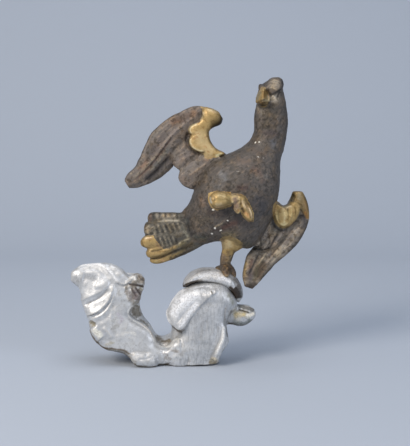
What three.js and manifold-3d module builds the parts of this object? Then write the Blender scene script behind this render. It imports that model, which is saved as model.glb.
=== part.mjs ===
// A carved wooden weathercock on one leg, standing on a silvered scrollwork base.
// Millimetres. +X is to the right and +Y away from the viewer in the front view, +Z is up.
import * as THREE from "three";
import { mergeVertices } from "three/addons/utils/BufferGeometryUtils.js";
import Module from "manifold-3d";

const wasm = await Module();
wasm.setup();

// Driving dimensions, measured on the front view. The plane y = 0 runs through the trunk.
const FLOOR_CUT = 1.5; // how much the feet of the base are planed flat
const SEAM = 0.4; // gap left where the bird stands on the perch cap and the cap on the base
const STRIP_LAP = 0.3; // how far a carved feather laps its neighbour, as a share of its width
const STRIP_STEP = 1.6; // how far each feather lies behind the one before it
const BLADE_STRIPS = 3; // long feathers carved in the blade of each wing
const INNER_RIM = 0.82; // the base's carved face stops at this share of its width
const FACE_FORWARD = 23; // and stands this far in front of the back half
const GROUND = 600; // side of the block that trims the underside flat

// Turns a deformed geometry into a solid, with its faces outward.
function solid(geometry) {
  geometry.deleteAttribute("normal");
  geometry.deleteAttribute("uv");
  const merged = mergeVertices(geometry, 1e-4);
  const at = merged.attributes.position.array;
  const faces = [];
  const a = new THREE.Vector3();
  const b = new THREE.Vector3();
  const c = new THREE.Vector3();
  let volume = 0;
  for (let i = 0; i < merged.index.count; i += 3) {
    const face = [0, 1, 2].map((k) => merged.index.array[i + k]);
    if (new Set(face).size < 3) continue;
    faces.push(face);
    a.fromArray(at, 3 * face[0]);
    b.fromArray(at, 3 * face[1]);
    c.fromArray(at, 3 * face[2]);
    volume += a.dot(b.cross(c));
  }
  const triVerts = new Uint32Array(faces.flatMap((f) => (volume < 0 ? [f[0], f[2], f[1]] : f)));
  return new wasm.Manifold(new wasm.Mesh({ numProp: 3, vertProperties: at, triVerts }));
}

// Moves the points of a sphere: section(share of the length, angle) gives each new place,
// and the two poles go to the middles of the end sections.
function sweep(around, along, section) {
  const ball = new THREE.SphereGeometry(1, around, along + 2);
  const at = ball.attributes.position;
  const uv = ball.attributes.uv;
  for (let i = 0; i < at.count; i++) {
    const row = Math.round((1 - uv.getY(i)) * (along + 2));
    const t = THREE.MathUtils.clamp((row - 1) / along, 0, 1);
    const pole = row === 0 || row === along + 2;
    const angle = 2 * Math.PI * (Math.round(uv.getX(i) * around) % around) / around;
    const place = pole
      ? section(t, 0).add(section(t, Math.PI)).multiplyScalar(0.5)
      : section(t, angle);
    at.setXYZ(i, place.x, place.y, place.z);
  }
  return solid(ball);
}

// Squares an ellipse: power 2 leaves it round, more makes it boxier.
function squared(value, power) {
  return Math.sign(value) * Math.abs(value) ** (2 / power);
}

// A form between two edges of the front view. Each station holds a point [x, z] on one edge, its
// partner on the other edge, the depth of the section's middle, and its half thickness in front
// and behind. rows is how many rows of faces run from each station to the next, from and to
// narrow the form to a share of its width, back moves it and grow makes it bigger.
function carved(stations, options = {}) {
  const { around = 8, rows = 1, power = 2, from = 0, to = 1, back = 0, grow = 0 } = options;
  const edge = (k) => new THREE.CatmullRomCurve3(
    stations.map((s) => new THREE.Vector3(s[k][0], 0, s[k][1])));
  const left = edge(0);
  const right = edge(1);
  const depth = new THREE.CatmullRomCurve3(
    stations.map((s) => new THREE.Vector3(s[2], s[3], s[4])));
  return sweep(around, rows * (stations.length - 1), (t, angle) => {
    const a = left.getPoint(t);
    const b = right.getPoint(t);
    const d = depth.getPoint(t);
    const across = squared(Math.cos(angle), power);
    const out = squared(Math.sin(angle), power);
    const place = a.clone().lerp(b, from + (to - from) * (1 - across) / 2);
    const wider = b.clone().sub(a).normalize().multiplyScalar(-across * grow);
    place.add(wider);
    place.y = d.x + back - out * ((out > 0 ? d.y : d.z) + grow);
    return place;
  });
}

// A wing blade or a group of feathers: strips side by side, each lapping behind the last.
function strips(stations, count, options) {
  const width = 1 / count;
  const made = [];
  for (let i = 0; i < count; i++) {
    made.push(carved(stations, {
      ...options,
      from: Math.max(0, (i - STRIP_LAP) * width),
      to: Math.min(1, (i + 1) * width),
      back: i * STRIP_STEP,
    }));
  }
  return made;
}

// A feather with parallel edges. blunt is the share of its length that rounds off to the tip,
// and bow bends it sideways.
function feather({ root, tip, width, thick, blunt, bow }, options) {
  const start = new THREE.Vector3(...root);
  const end = new THREE.Vector3(...tip);
  const side = new THREE.Vector3(0, 1, 0).cross(end.clone().sub(start)).normalize();
  const shares = [0, 0.4, 1 - blunt, 1 - 0.5 * blunt, 1 - 0.12 * blunt, 1];
  const stations = shares.map((share) => {
    const past = Math.max(0, (share - 1 + blunt) / blunt);
    const round = Math.sqrt(1 - 0.93 * past ** 2);
    const middle = start.clone().lerp(end, share)
      .addScaledVector(side, bow * Math.sin(Math.PI * share));
    const a = middle.clone().addScaledVector(side, 0.5 * width * round);
    const b = middle.clone().addScaledVector(side, -0.5 * width * round);
    return [[a.x, a.z], [b.x, b.z], middle.y, thick * (0.3 + 0.7 * round), thick * (0.3 + 0.7 * round)];
  });
  return carved(stations, options);
}

// A rounded limb along [x, y, z, radius] points: toes, beak, comb and raised ribs.
function limb(points, { around = 8, along = 8, flat = 1 } = {}) {
  const path = new THREE.CatmullRomCurve3(points.map((p) => new THREE.Vector3(p[0], p[1], p[2])));
  const radius = new THREE.CatmullRomCurve3(points.map((p) => new THREE.Vector3(p[3], 0, 0)));
  return sweep(around, along, (t, angle) => {
    const ahead = path.getTangent(t);
    const side = new THREE.Vector3(0, 1, 0).cross(ahead).normalize();
    const up = ahead.clone().cross(side).normalize();
    const r = radius.getPoint(t).x;
    return path.getPoint(t)
      .addScaledVector(side, Math.cos(angle) * r)
      .addScaledVector(up, Math.sin(angle) * r * flat);
  });
}

// Joins forms into one solid and fills the small hollows that are closed in between them.
function joined(solids) {
  const whole = solids.reduce((sum, next) => sum.add(next));
  const skins = whole.decompose().filter((skin) => skin.volume() > 0);
  return skins.reduce((sum, next) => sum.add(next));
}

// The biggest piece left after a cut.
function largest(shape) {
  return shape.decompose().reduce((best, next) => (next.volume() > best.volume() ? next : best));
}

function mesh(name, shape, color, roughness, metalness) {
  const made = shape.getMesh();
  const geometry = new THREE.BufferGeometry();
  geometry.setAttribute("position", new THREE.BufferAttribute(made.vertProperties, 3));
  geometry.setIndex(new THREE.BufferAttribute(made.triVerts, 1));
  geometry.computeVertexNormals();
  const piece = new THREE.Mesh(geometry, new THREE.MeshStandardMaterial({ color, roughness, metalness }));
  piece.name = name;
  return piece;
}

// Bird: the trunk and neck, from the root of the tail to the crown.
const TRUNK = [
  [[-13, 213], [-9, 158], 5, 9, 9],
  [[-2, 227], [13, 167], 3, 21, 20],
  [[4, 242], [46, 174], 0, 34, 32],
  [[12, 264], [83, 164], -2, 43, 40],
  [[24, 282], [110, 201], -2, 47, 42],
  [[41, 292], [122, 237], 0, 45, 40],
  [[58, 298], [125, 262], 2, 39, 36],
  [[74, 307], [125, 284], 3, 32, 31],
  [[83, 315], [129, 301], 3, 26, 27],
  [[88, 328], [133, 319], 2, 23, 25],
  [[88, 340], [135, 340], 0, 22, 24],
  [[89, 355], [133, 357], -2, 21, 23],
  [[92, 369], [131, 370], -4, 21, 22],
  [[93, 382], [128, 383], -5, 20, 20],
  [[98, 391], [125, 392], -5, 14, 14],
  [[105, 396], [119, 396], -5, 7, 7],
];

// The crown carries a low lobed comb, and the hooked beak turns to the left and forward.
const BEAK_UPPER = [
  [[98, 387], [105, 387], -20, 6, 8],
  [[92, 381], [107, 382], -22, 12, 8],
  [[89, 374], [107, 375], -23, 15, 8],
  [[89, 370], [105, 371], -24, 14, 8],
  [[91, 366], [98, 367], -27, 8, 5],
];
const BEAK_LOWER = [
  [[91, 368], [107, 370], -19, 9, 6],
  [[93, 365], [106, 366], -19, 9, 6],
  [[97, 362], [104, 363], -18, 5, 4],
];
const COMB = [
  [[105, 395], [107, 390], -5, 4, 4],
  [[109, 400], [111, 388], -6, 7, 6],
  [[116, 402], [116, 387], -6, 8, 7],
  [[123, 400], [123, 386], -5, 8, 7],
  [[128, 394], [126, 384], -4, 7, 6],
  [[128, 390], [127, 385], -4, 3.5, 3.5],
];
const COMB_FLAP = [
  [[110, 397], [120, 397], -16, 4, 6],
  [[107, 390], [122, 390], -20, 6, 6],
  [[110, 383], [120, 384], -23, 4.5, 6],
  [[114, 380], [117, 380], -23, 2.5, 4],
];
const COMB_LUMP = [[99, -12, 384, 5], [98, -12, 389, 5.2], [99, -11, 392, 3.5]];
function head() {
  return [
    carved(BEAK_UPPER, { around: 10, rows: 2 }),
    carved(BEAK_LOWER, { rows: 2 }),
    carved(COMB, { rows: 2 }),
    carved(COMB_FLAP, { rows: 2 }),
    limb(COMB_LUMP, { around: 8, along: 4 }),
  ];
}

// The raised wing: a blade from the wrist to the tip, outer edge first, three short feathers, and
// the gilded coverts over them from the wrist to the shoulder.
const BLADE_LEFT = [
  [[33, 358], [31, 333], 6, 7, 7],
  [[19, 361], [23, 323], 8, 8, 7],
  [[5, 362], [10, 312], 8, 8, 7],
  [[-12, 355], [-1, 301], 7, 8, 7],
  [[-28, 347], [-12, 290], 5, 8, 7],
  [[-44, 335], [-23, 280], 3, 8, 7],
  [[-55, 324], [-31, 271], 1, 8, 7],
  [[-63, 308], [-41, 263], -2, 7, 7],
  [[-70, 292], [-52, 257], -5, 7, 6],
  [[-77, 279], [-64, 252], -8, 6, 6],
  [[-87, 269], [-75, 249], -11, 5, 5],
  [[-91, 261], [-85, 249], -13, 4, 4],
];
const RAISED_SHORT = [
  { root: [15, 4, 312], tip: [-22, -2, 274], width: 22, thick: 7.5, blunt: 0.3, bow: -2 },
  { root: [29, 0, 299], tip: [-13, -6, 253], width: 24, thick: 9, blunt: 0.3, bow: -2 },
  { root: [45, -3, 290], tip: [-1, -8, 249], width: 22, thick: 10, blunt: 0.3, bow: -2 },
];
const COVERT_LEFT = [
  [[40, 355], [45, 344], 0, 9, 8],
  [[29, 360], [42, 337], -1, 12, 9],
  [[18, 359], [33, 333], -1, 12, 9],
  [[15, 346], [27, 329], -1, 12, 9],
  [[4, 335], [26, 323], -1, 12, 9],
  [[0, 322], [27, 315], -2, 12, 9],
  [[0, 310], [32, 308], -2, 12, 10],
  [[9, 301], [39, 303], -3, 12, 12],
  [[23, 293], [46, 300], -4, 12, 13],
  [[41, 292], [54, 297], -4, 10, 12],
];
function raisedWing() {
  return [
    ...strips(BLADE_LEFT, BLADE_STRIPS, { power: 2.6 }),
    ...RAISED_SHORT.map((one) => feather(one)),
    carved(COVERT_LEFT, { rows: 2 }),
  ];
}

// The lowered wing in the same order. Its root is hidden behind the trunk.
const BLADE_RIGHT = [
  [[156, 238], [146, 237], 22, 6, 6],
  [[165, 225], [139, 228], 22, 8, 7],
  [[168, 209], [131, 213], 20, 8, 7],
  [[165, 193], [119, 200], 17, 8, 7],
  [[159, 180], [108, 186], 14, 8, 7],
  [[149, 166], [96, 172], 10, 8, 7],
  [[135, 153], [85, 160], 6, 8, 7],
  [[120, 141], [78, 150], 2, 8, 7],
  [[107, 127], [75, 138], -2, 7, 7],
  [[96, 115], [73, 125], -5, 6, 6],
  [[87, 107], [76, 110], -8, 4, 4],
];
const LOWERED_SHORT = [
  { root: [120, 8, 215], tip: [90, -3, 168], width: 12, thick: 8, blunt: 0.2, bow: -3 },
  { root: [127, 9, 211], tip: [99, -1, 163], width: 12, thick: 8, blunt: 0.2, bow: -3 },
  { root: [134, 10, 203], tip: [110, 1, 164], width: 12, thick: 8, blunt: 0.2, bow: -3 },
];
const COVERT_RIGHT = [
  [[160, 236], [146, 241], 19, 8, 8],
  [[165, 222], [142, 236], 16, 11, 9],
  [[164, 210], [139, 231], 14, 13, 9],
  [[153, 211], [136, 226], 12, 14, 9],
  [[146, 199], [130, 223], 10, 15, 9],
  [[133, 192], [126, 226], 8, 15, 9],
  [[120, 195], [121, 228], 6, 14, 9],
  [[114, 206], [116, 222], 5, 10, 9],
];
const ROOT_RIGHT = [[99, 12, 222, 18], [115, 14, 217, 14], [129, 16, 210, 10]];
function loweredWing() {
  return [
    ...strips(BLADE_RIGHT, BLADE_STRIPS, { power: 2.6 }),
    ...LOWERED_SHORT.map((one) => feather(one, { around: 6 })),
    carved(COVERT_RIGHT, { rows: 2 }),
    limb(ROOT_RIGHT, { along: 4, flat: 0.6 }),
  ];
}

// The tail: five stepped feathers, the top one first.
const TAIL = [
  { root: [5, 6, 205], tip: [-60, 6, 206], width: 15, thick: 10, blunt: 0.08, bow: 0 },
  { root: [9, 3, 197], tip: [-65, 3, 189], width: 20.5, thick: 13, blunt: 0.08, bow: 0 },
  { root: [12, 2, 185], tip: [-70, -1, 171], width: 20, thick: 13, blunt: 0.2, bow: 1 },
  { root: [16, 2, 179], tip: [-62, -1, 155], width: 17, thick: 12, blunt: 0.15, bow: 1 },
  { root: [16, 4, 175], tip: [-57, 4, 145], width: 15, thick: 11, blunt: 0.2, bow: -3 },
];
function tail() {
  return TAIL.map((one) => feather(one, { power: 3 }));
}

// The standing leg widens into a thigh above, and its toes spread over the perch cap.
const LEG = [
  [[36, 202], [86, 188], -10, 22, 22],
  [[41, 188], [79, 172], -9, 19, 18],
  [[43, 173], [71, 164], -8, 14, 13],
  [[44, 163], [62, 158], -7, 9, 9],
  [[42, 153], [59, 150], -6, 7.5, 7.5],
  [[41, 143], [56, 142], -5, 7, 7],
  [[41, 133], [56, 133], -5, 7.5, 7.5],
  [[42, 126], [55, 126], -5, 7.5, 7.5],
];
const TOE_FRONT = [[48, -5, 139, 7], [49, -16, 135, 6.5], [50, -24, 131, 5], [51, -28, 128, 2.5]];
const TOE_RIGHT = [[50, -2, 138, 7], [56, -8, 134, 6], [60, -11, 129, 4.5], [62, -12, 124, 2.5]];
const TOE_BACK = [[46, 0, 134, 7], [39, 6, 133, 5], [36, 9, 134, 3]];
function standingLeg() {
  return [
    carved(LEG),
    limb(TOE_FRONT, { along: 5 }),
    limb(TOE_RIGHT, { along: 5 }),
    limb(TOE_BACK, { along: 3 }),
  ];
}

// The raised leg lies across the front of the trunk and drops two toes.
const SHANK = [
  [[26, 243], [27, 236], -62, 5, 5],
  [[29, 247], [30, 230], -62, 10, 9],
  [[34, 250], [36, 227], -62, 12, 11],
  [[43, 250], [44, 229], -61, 11, 10],
  [[54, 248], [54, 232], -59, 9, 8],
  [[63, 247], [65, 233], -57, 8, 8],
  [[73, 243], [74, 235], -55, 5, 5],
];
const TOE_INNER = [
  [[55, 241], [69, 244], -57, 7, 6],
  [[56, 233], [70, 234], -58, 7, 6],
  [[61, 224], [69, 225], -57, 5, 5],
  [[64, 220], [67, 220], -56, 2.5, 2.5],
];
const TOE_OUTER = [
  [[65, 246], [74, 241], -54, 6, 6],
  [[67, 238], [78, 235], -56, 7, 6],
  [[71, 228], [82, 226], -57, 7, 6],
  [[76, 218], [84, 217], -57, 5, 5],
  [[81, 210], [84, 210], -56, 2.5, 2.5],
];
const HIP = [[46, -28, 235, 15], [41, -46, 237, 12], [38, -58, 238, 9]];
function raisedLeg() {
  return [
    carved(SHANK),
    carved(TOE_INNER, { rows: 2 }),
    carved(TOE_OUTER, { rows: 2 }),
    limb(HIP, { along: 3 }),
  ];
}

function bird() {
  return joined([
    carved(TRUNK, { around: 16, rows: 2 }),
    ...head(),
    ...raisedWing(),
    ...loweredWing(),
    ...tail(),
    ...standingLeg(),
    ...raisedLeg(),
  ]);
}

// Perch cap: a silvered cap that bridges the right-hand scroll, from its left tip. The bird's
// foot grips it.
const CAP = [
  [[-11, 111], [-10, 110], 2, 14, 14],
  [[-9, 118], [-4, 113], 2, 26, 24],
  [[1, 128], [7, 117], 2, 30, 28],
  [[13, 133], [19, 118], 2, 31, 29],
  [[27, 134], [32, 116], 2, 31, 29],
  [[43, 133], [43, 113], 2, 31, 29],
  [[57, 130], [51, 108], 2, 30, 28],
  [[66, 119], [57, 102], 2, 28, 26],
  [[72, 108], [61, 94], 2, 25, 24],
  [[74, 97], [64, 89], 2, 20, 20],
  [[70, 89], [66, 87], 2, 12, 12],
];
function perchCap(grow = 0) {
  return carved(CAP, { around: 10, rows: 2, power: 2.3, grow });
}

// Base: a U-shaped scroll from the top of the left lobe down and round to the top of the right
// one. Its carved face stands in front of the back half and stops short of the inner rim.
const CORE = [
  [[-122, 139], [-111, 139], 8, 8, 10],
  [[-142, 137], [-100, 133], 8, 10, 14],
  [[-161, 131], [-85, 121], 8, 12, 16],
  [[-166, 124], [-70, 124], 9, 14, 18],
  [[-158, 109], [-66, 112], 10, 15, 20],
  [[-153, 99], [-69, 103], 10, 17, 21],
  [[-155, 86], [-72, 90], 10, 18, 22],
  [[-149, 68], [-72, 76], 10, 20, 22],
  [[-142, 56], [-67, 62], 10, 22, 22],
  [[-135, 36], [-58, 52], 10, 22, 22],
  [[-119, 24], [-50, 39], 10, 22, 22],
  [[-95, 19], [-45, 34], 10, 24, 22],
  [[-72, 6], [-39, 34], 10, 24, 22],
  [[-52, 2], [-33, 36], 10, 24, 24],
  [[-29, 4], [-28, 40], 10, 26, 25],
  [[-8, 4], [-27, 51], 10, 28, 26],
  [[13, 4], [-28, 62], 10, 30, 26],
  [[39, 4], [-28, 73], 10, 30, 26],
  [[43, 17], [-27, 83], 10, 30, 26],
  [[53, 32], [-23, 91], 10, 28, 26],
  [[52, 42], [-18, 98], 10, 26, 26],
  [[51, 58], [-12, 102], 10, 26, 26],
  [[57, 71], [-2, 107], 10, 26, 26],
  [[64, 84], [8, 110], 10, 25, 25],
  [[59, 98], [18, 113], 10, 22, 22],
  [[47, 107], [26, 114], 10, 16, 16],
];

// What is carved on the base: the leaf that folds over the right lobe, the small leaf curl that
// leaves it, and the knob and two low feet that it stands on.
const PETAL = [
  [[-1, 115], [18, 114], -22, 6, 10],
  [[-14, 107], [29, 109], -26, 9, 12],
  [[-24, 95], [26, 98], -29, 10, 14],
  [[-31, 83], [15, 87], -31, 10, 14],
  [[-33, 73], [4, 74], -32, 9, 14],
  [[-28, 64], [-5, 63], -32, 7, 12],
  [[-17, 53], [-12, 52], -31, 4, 8],
];
const CURL = [
  [[47, 81], [47, 55], -2, 12, 14],
  [[58, 83], [58, 55], -4, 13, 14],
  [[70, 84], [70, 53], -6, 13, 14],
  [[81, 83], [81, 57], -8, 11, 12],
  [[88, 78], [89, 64], -9, 7, 8],
  [[92, 74], [92, 70], -9, 3, 3],
];
const KNOB = [
  [[-86, 17], [-84, 13], -30, 4, 6],
  [[-82, 21], [-76, 3], -31, 10, 14],
  [[-66, 22], [-61, -1], -31, 13, 16],
  [[-52, 20], [-48, 1], -30, 11, 15],
  [[-44, 14], [-43, 8], -28, 4, 6],
];
const FOOT_FRONT = [
  [[-30, 15], [-29, 3], -26, 4, 6],
  [[-23, 21], [-22, -1], -27, 9, 13],
  [[-10, 20], [-9, -2], -26, 10, 15],
  [[-2, 17], [-1, 3], -24, 5, 7],
];
const FOOT_BACK = [
  [[-4, 9], [-6, -9], 18, 10, 10],
  [[4, 12], [3, -12], 18, 16, 14],
  [[20, 12], [20, -12], 18, 17, 15],
  [[35, 12], [36, -12], 18, 16, 14],
  [[40, 9], [41, -9], 18, 10, 10],
];

// Raised ribs of the shell lobe, its rolled rim, and two folds lower down.
const RIB_1 = [[-151, -24, 93, 2.8], [-132, -33, 102, 4.5], [-119, -32, 109, 4], [-110, -30, 115, 2.5]];
const RIB_2 = [[-142, -30, 78, 2.5], [-129, -36, 84, 5], [-114, -34, 101, 4.5], [-107, -30, 112, 2.5]];
const RIB_3 = [[-137, -31, 69, 2.5], [-124, -37, 73, 5], [-114, -37, 84, 4.5], [-108, -34, 98, 3]];
const RIM = [
  [-155, -20, 133, 4], [-142, -20, 140, 5.5], [-126, -20, 142, 6.5],
  [-113, -23, 136, 6.5], [-102, -25, 124, 6], [-92, -24, 117, 4],
];
const FOLD_1 = [[-98, -34, 65, 3], [-86, -37, 55, 5], [-70, -38, 49, 5], [-56, -36, 44, 3]];
const FOLD_2 = [[34, -34, 11, 4], [40, -34, 25, 5], [45, -32, 38, 5], [44, -29, 54, 3.5]];

function base() {
  const ribs = [RIB_1, RIB_2, RIB_3, RIM, FOLD_1, FOLD_2].map((rib) =>
    limb(rib, { around: 6, along: 6 }));
  const whole = joined([
    carved(CORE, { around: 10, power: 2.6 }),
    carved(CORE, { around: 10, power: 2.6, to: INNER_RIM, back: -FACE_FORWARD }),
    carved(PETAL),
    carved(CURL),
    carved(KNOB, { rows: 2 }),
    carved(FOOT_FRONT, { rows: 2 }),
    carved(FOOT_BACK, { power: 3 }),
    ...ribs,
  ]);
  const ground = new THREE.BoxGeometry(GROUND, GROUND, GROUND);
  ground.translate(0, 0, FLOOR_CUT - 0.5 * GROUND);
  return whole.subtract(solid(ground));
}

// The whole object, set on the floor with the middle of its bounding box over the origin.
const group = new THREE.Group();
const room = perchCap(SEAM);
group.add(mesh("bird", largest(bird().subtract(room)), 0x4a423c, 0.7, 0));
group.add(mesh("perch_cap", perchCap(), 0xb9bab8, 0.45, 0.6));
group.add(mesh("base", largest(base().subtract(room)), 0xc4c6c6, 0.45, 0.6));
const box = new THREE.Box3().setFromObject(group);
const middle = box.getCenter(new THREE.Vector3());
group.position.set(-middle.x, -middle.y, -box.min.z);

export default group;
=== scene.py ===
# A carved wooden weathercock: a dark painted, part gilded bird on one leg, on a silvered scroll base.
# The file follows the object from the stand upwards. Carved forms are measured in millimetres on the
# front view, with y = 0 through the middle of the trunk and -y towards the viewer.
import math
from collections import namedtuple

import bpy
import numpy as np
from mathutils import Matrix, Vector, kdtree


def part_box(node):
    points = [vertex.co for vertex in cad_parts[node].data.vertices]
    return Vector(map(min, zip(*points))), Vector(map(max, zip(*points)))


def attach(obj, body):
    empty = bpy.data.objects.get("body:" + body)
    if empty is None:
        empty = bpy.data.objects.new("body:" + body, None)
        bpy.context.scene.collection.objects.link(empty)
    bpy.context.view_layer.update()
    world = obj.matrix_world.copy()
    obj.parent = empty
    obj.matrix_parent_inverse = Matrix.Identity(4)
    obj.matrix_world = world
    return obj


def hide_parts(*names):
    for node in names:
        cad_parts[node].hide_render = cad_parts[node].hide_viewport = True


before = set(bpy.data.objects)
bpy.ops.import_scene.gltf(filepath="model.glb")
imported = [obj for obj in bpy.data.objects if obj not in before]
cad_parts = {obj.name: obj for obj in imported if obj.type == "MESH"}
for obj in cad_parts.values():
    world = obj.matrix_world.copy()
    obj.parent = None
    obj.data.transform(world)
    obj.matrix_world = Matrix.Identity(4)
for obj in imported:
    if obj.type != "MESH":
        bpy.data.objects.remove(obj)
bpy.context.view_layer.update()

# Stage: a sweep of pale blue-grey card, a large soft light from the left, a weaker one from the right,
# and a camera 1.6 m away that looks slightly down on the carving.
MM = 0.001
TO_FLOOR = np.array([-1.0, 16.914, -1.5])  # from the carving's own axes to the middle of the floor
EYE = np.array([20.3, -1584.4, 421.8])
EYE_TILT = 8  # degrees below level
LENS = 92.25  # millimetres, which fits the carving into the view as the photograph does


def linear(code):
    """An sRGB hex colour as the linear RGBA that the shaders use."""
    parts = [int(code[i:i + 2], 16) / 255 for i in (1, 3, 5)]
    return [p / 12.92 if p <= 0.04045 else ((p + 0.055) / 1.055) ** 2.4 for p in parts] + [1.0]


camera = bpy.data.objects.new("camera", bpy.data.cameras.new("camera"))
camera.location = (EYE + TO_FLOOR) * MM
camera.rotation_euler = (math.radians(90 - EYE_TILT), 0, 0)
camera.data.lens = LENS
camera.data.clip_end = 20
bpy.context.collection.objects.link(camera)
bpy.context.scene.camera = camera
bpy.context.scene.view_settings.view_transform = "Standard"


def card_sweep():
    """The floor runs back and turns up into the backdrop in one wide curve."""
    bend = [(0.9 + 0.7 * math.sin(a), 0.7 - 0.7 * math.cos(a)) for a in np.linspace(0, math.pi / 2, 25)]
    profile = [(-3.0, 0.0), (0.4, 0.0)] + bend + [(1.6, 3.5)]
    verts = [(x, y, z) for x in (-4.0, 4.0) for y, z in profile]
    count = len(profile)
    faces = [(i, i + count, i + 1 + count, i + 1) for i in range(count - 1)]
    mesh = bpy.data.meshes.new("card_sweep")
    mesh.from_pydata(verts, [], faces)
    mesh.polygons.foreach_set("use_smooth", [True] * len(faces))
    return mesh


card = bpy.data.materials.new("matt_card")
card.use_nodes = True
card_bsdf = card.node_tree.nodes["Principled BSDF"]
card_bsdf.inputs["Base Color"].default_value = linear("#b6bec9")
card_bsdf.inputs["Roughness"].default_value = 0.9
sweep_object = bpy.data.objects.new("card_sweep", card_sweep())
sweep_object.data.materials.append(card)
bpy.context.collection.objects.link(sweep_object)


def soft_light(name, place, aim, size, watts, colour):
    """A rectangular lamp that is aimed at a point."""
    lamp = bpy.data.objects.new(name, bpy.data.lights.new(name, "AREA"))
    lamp.data.shape = "RECTANGLE"
    lamp.data.size, lamp.data.size_y = size
    lamp.data.energy = watts
    lamp.data.color = linear(colour)[:3]
    lamp.location = place
    lamp.rotation_euler = (Vector(aim) - Vector(place)).to_track_quat("-Z", "Y").to_euler()
    bpy.context.collection.objects.link(lamp)


soft_light("key_light", (-1.5, -1.6, 1.7), (0, 0, 0.2), (1.1, 1.1), 46, "#fff6ec")
soft_light("side_light", (1.9, -1.5, 0.9), (0, 0, 0.2), (1.1, 1.4), 14, "#eef3ff")
soft_light("top_light", (0.1, -0.1, 2.2), (0, 0, 0.1), (1.6, 1.2), 14, "#f4f7ff")
world = bpy.data.worlds.new("studio")
world.use_nodes = True
world.node_tree.nodes["Background"].inputs["Color"].default_value = linear("#ccd4e0")
world.node_tree.nodes["Background"].inputs["Strength"].default_value = 0.48
bpy.context.scene.world = world

# Base: a U-shaped scroll carved in limewood from several stuck blocks, gessoed and silvered. A shell
# lobe with a rolled rim and deep flutes rises on the left, a leaf folds over the lobe on the right, and
# the inner edge and the top of the left lobe are torn down to bare wood.
FLOOR_CUT = 1.5  # how much its feet are planed flat


def spline(points, shares):
    """A smooth curve through the points, read at shares of its length."""
    p = np.asarray(points, float)
    p = np.vstack([2 * p[0] - p[1], p, 2 * p[-1] - p[-2]])
    at = np.clip(np.asarray(shares, float), 0, 1) * (len(p) - 3)
    first = np.minimum(at.astype(int), len(p) - 4)
    w = (at - first)[:, None]
    a, b, c, d = (p[first + i] for i in range(4))

    def reach(u, v):
        return np.maximum(((u - v) ** 2).sum(1, keepdims=True) ** 0.25, 1e-3)
    ab, bc, cd = reach(a, b), reach(b, c), reach(c, d)
    out = ((b - a) / ab - (c - a) / (ab + bc) + (c - b) / bc) * bc
    into = ((c - b) / bc - (d - b) / (bc + cd) + (d - c) / cd) * bc
    return b + out * w + (3 * (c - b) - 2 * out - into) * w ** 2 + (2 * (b - c) + out + into) * w ** 3


def squared(value, power):
    """Fills a round section out towards a square one as the power grows past 2."""
    return np.sign(value) * np.abs(value) ** (2 / power)


Form = namedtuple("Form", "label points faces along")  # along is the share of its length at each point


def ringed(label, rings):
    """A closed tube of rings, with a pole at each end."""
    count, around = rings.shape[:2]
    points = np.vstack([rings.reshape(-1, 3), rings[[0, -1]].mean(1)])
    along = np.append(np.repeat(np.linspace(0, 1, count), around), [0, 1])
    ring = np.arange(around)
    ahead = np.roll(ring, -1)
    rows = np.arange(count - 1)[:, None] * around
    quads = np.stack([rows + ring, rows + ahead, rows + ahead + around, rows + ring + around], -1)
    last = (count - 1) * around
    pole = count * around
    faces = [tuple(quad) for quad in quads.reshape(-1, 4).tolist()]
    faces += [(pole, int(b), int(a)) for a, b in zip(ring, ahead)]
    faces += [(pole + 1, int(last + a), int(last + b)) for a, b in zip(ring, ahead)]
    return Form(label, points, faces, along)


def carved(label, stations, around=56, along=90, power=2.0, start=0.0, end=1.0, back=0.0):
    """A form between two edges of the front view. Each station holds a point on one edge, one on the
    other, the depth of its middle, and its half thickness in front and behind. Start and end keep a
    part of its width, as for one layer of feathers, and back sets that layer further back. Around
    and along are how many faces it has each way."""
    rows = np.array([[*a, *b, *rest] for a, b, *rest in stations], float)
    shares = np.linspace(0, 1, along + 1)
    left, right, depth = (spline(rows[:, k], shares) for k in (slice(0, 2), slice(2, 4), slice(4, 7)))
    angle = np.linspace(0, 2 * np.pi, around, endpoint=False)
    across = squared(np.cos(angle), power)
    out = squared(np.sin(angle), power)
    share = start + (end - start) * (1 - across) / 2
    flat = left[:, None] + (right - left)[:, None] * share[None, :, None]
    half = np.where(out > 0, depth[:, 1:2], depth[:, 2:3])
    y = depth[:, 0:1] + back - out * half
    return ringed(label, np.stack([flat[..., 0], y, flat[..., 1]], -1))


def limb(label, points, around=24, along=40, flat=1.0):
    """A rounded limb along (x, y, z, radius) points, flat as a share of its width."""
    rows = np.array(points, float)
    shares = np.linspace(0, 1, along + 1)
    path = spline(rows[:, :3], shares)
    radius = np.maximum(spline(rows[:, 3:], shares), 0.3)
    ahead = np.gradient(path, axis=0)
    side = np.cross([0.0, 1.0, 0.0], ahead)
    side /= np.linalg.norm(side, axis=1, keepdims=True)
    up = np.cross(ahead, side)
    up /= np.linalg.norm(up, axis=1, keepdims=True)
    angle = np.linspace(0, 2 * np.pi, around, endpoint=False)
    angle = angle[None, :, None]
    outwards = np.cos(angle) * side[:, None] + flat * np.sin(angle) * up[:, None]
    return ringed(label, path[:, None] + outwards * radius[:, None])


def mesh_arrays(mesh):
    """Points in millimetres on the carving's axes, and their normals."""
    points = np.empty(len(mesh.vertices) * 3, np.float32)
    mesh.vertices.foreach_get("co", points)
    normals = np.empty(len(mesh.vertices) * 3, np.float32)
    mesh.vertex_normals.foreach_get("vector", normals)
    return points.reshape(-1, 3).astype(float) / MM - TO_FLOOR, normals.reshape(-1, 3).astype(float)


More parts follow.
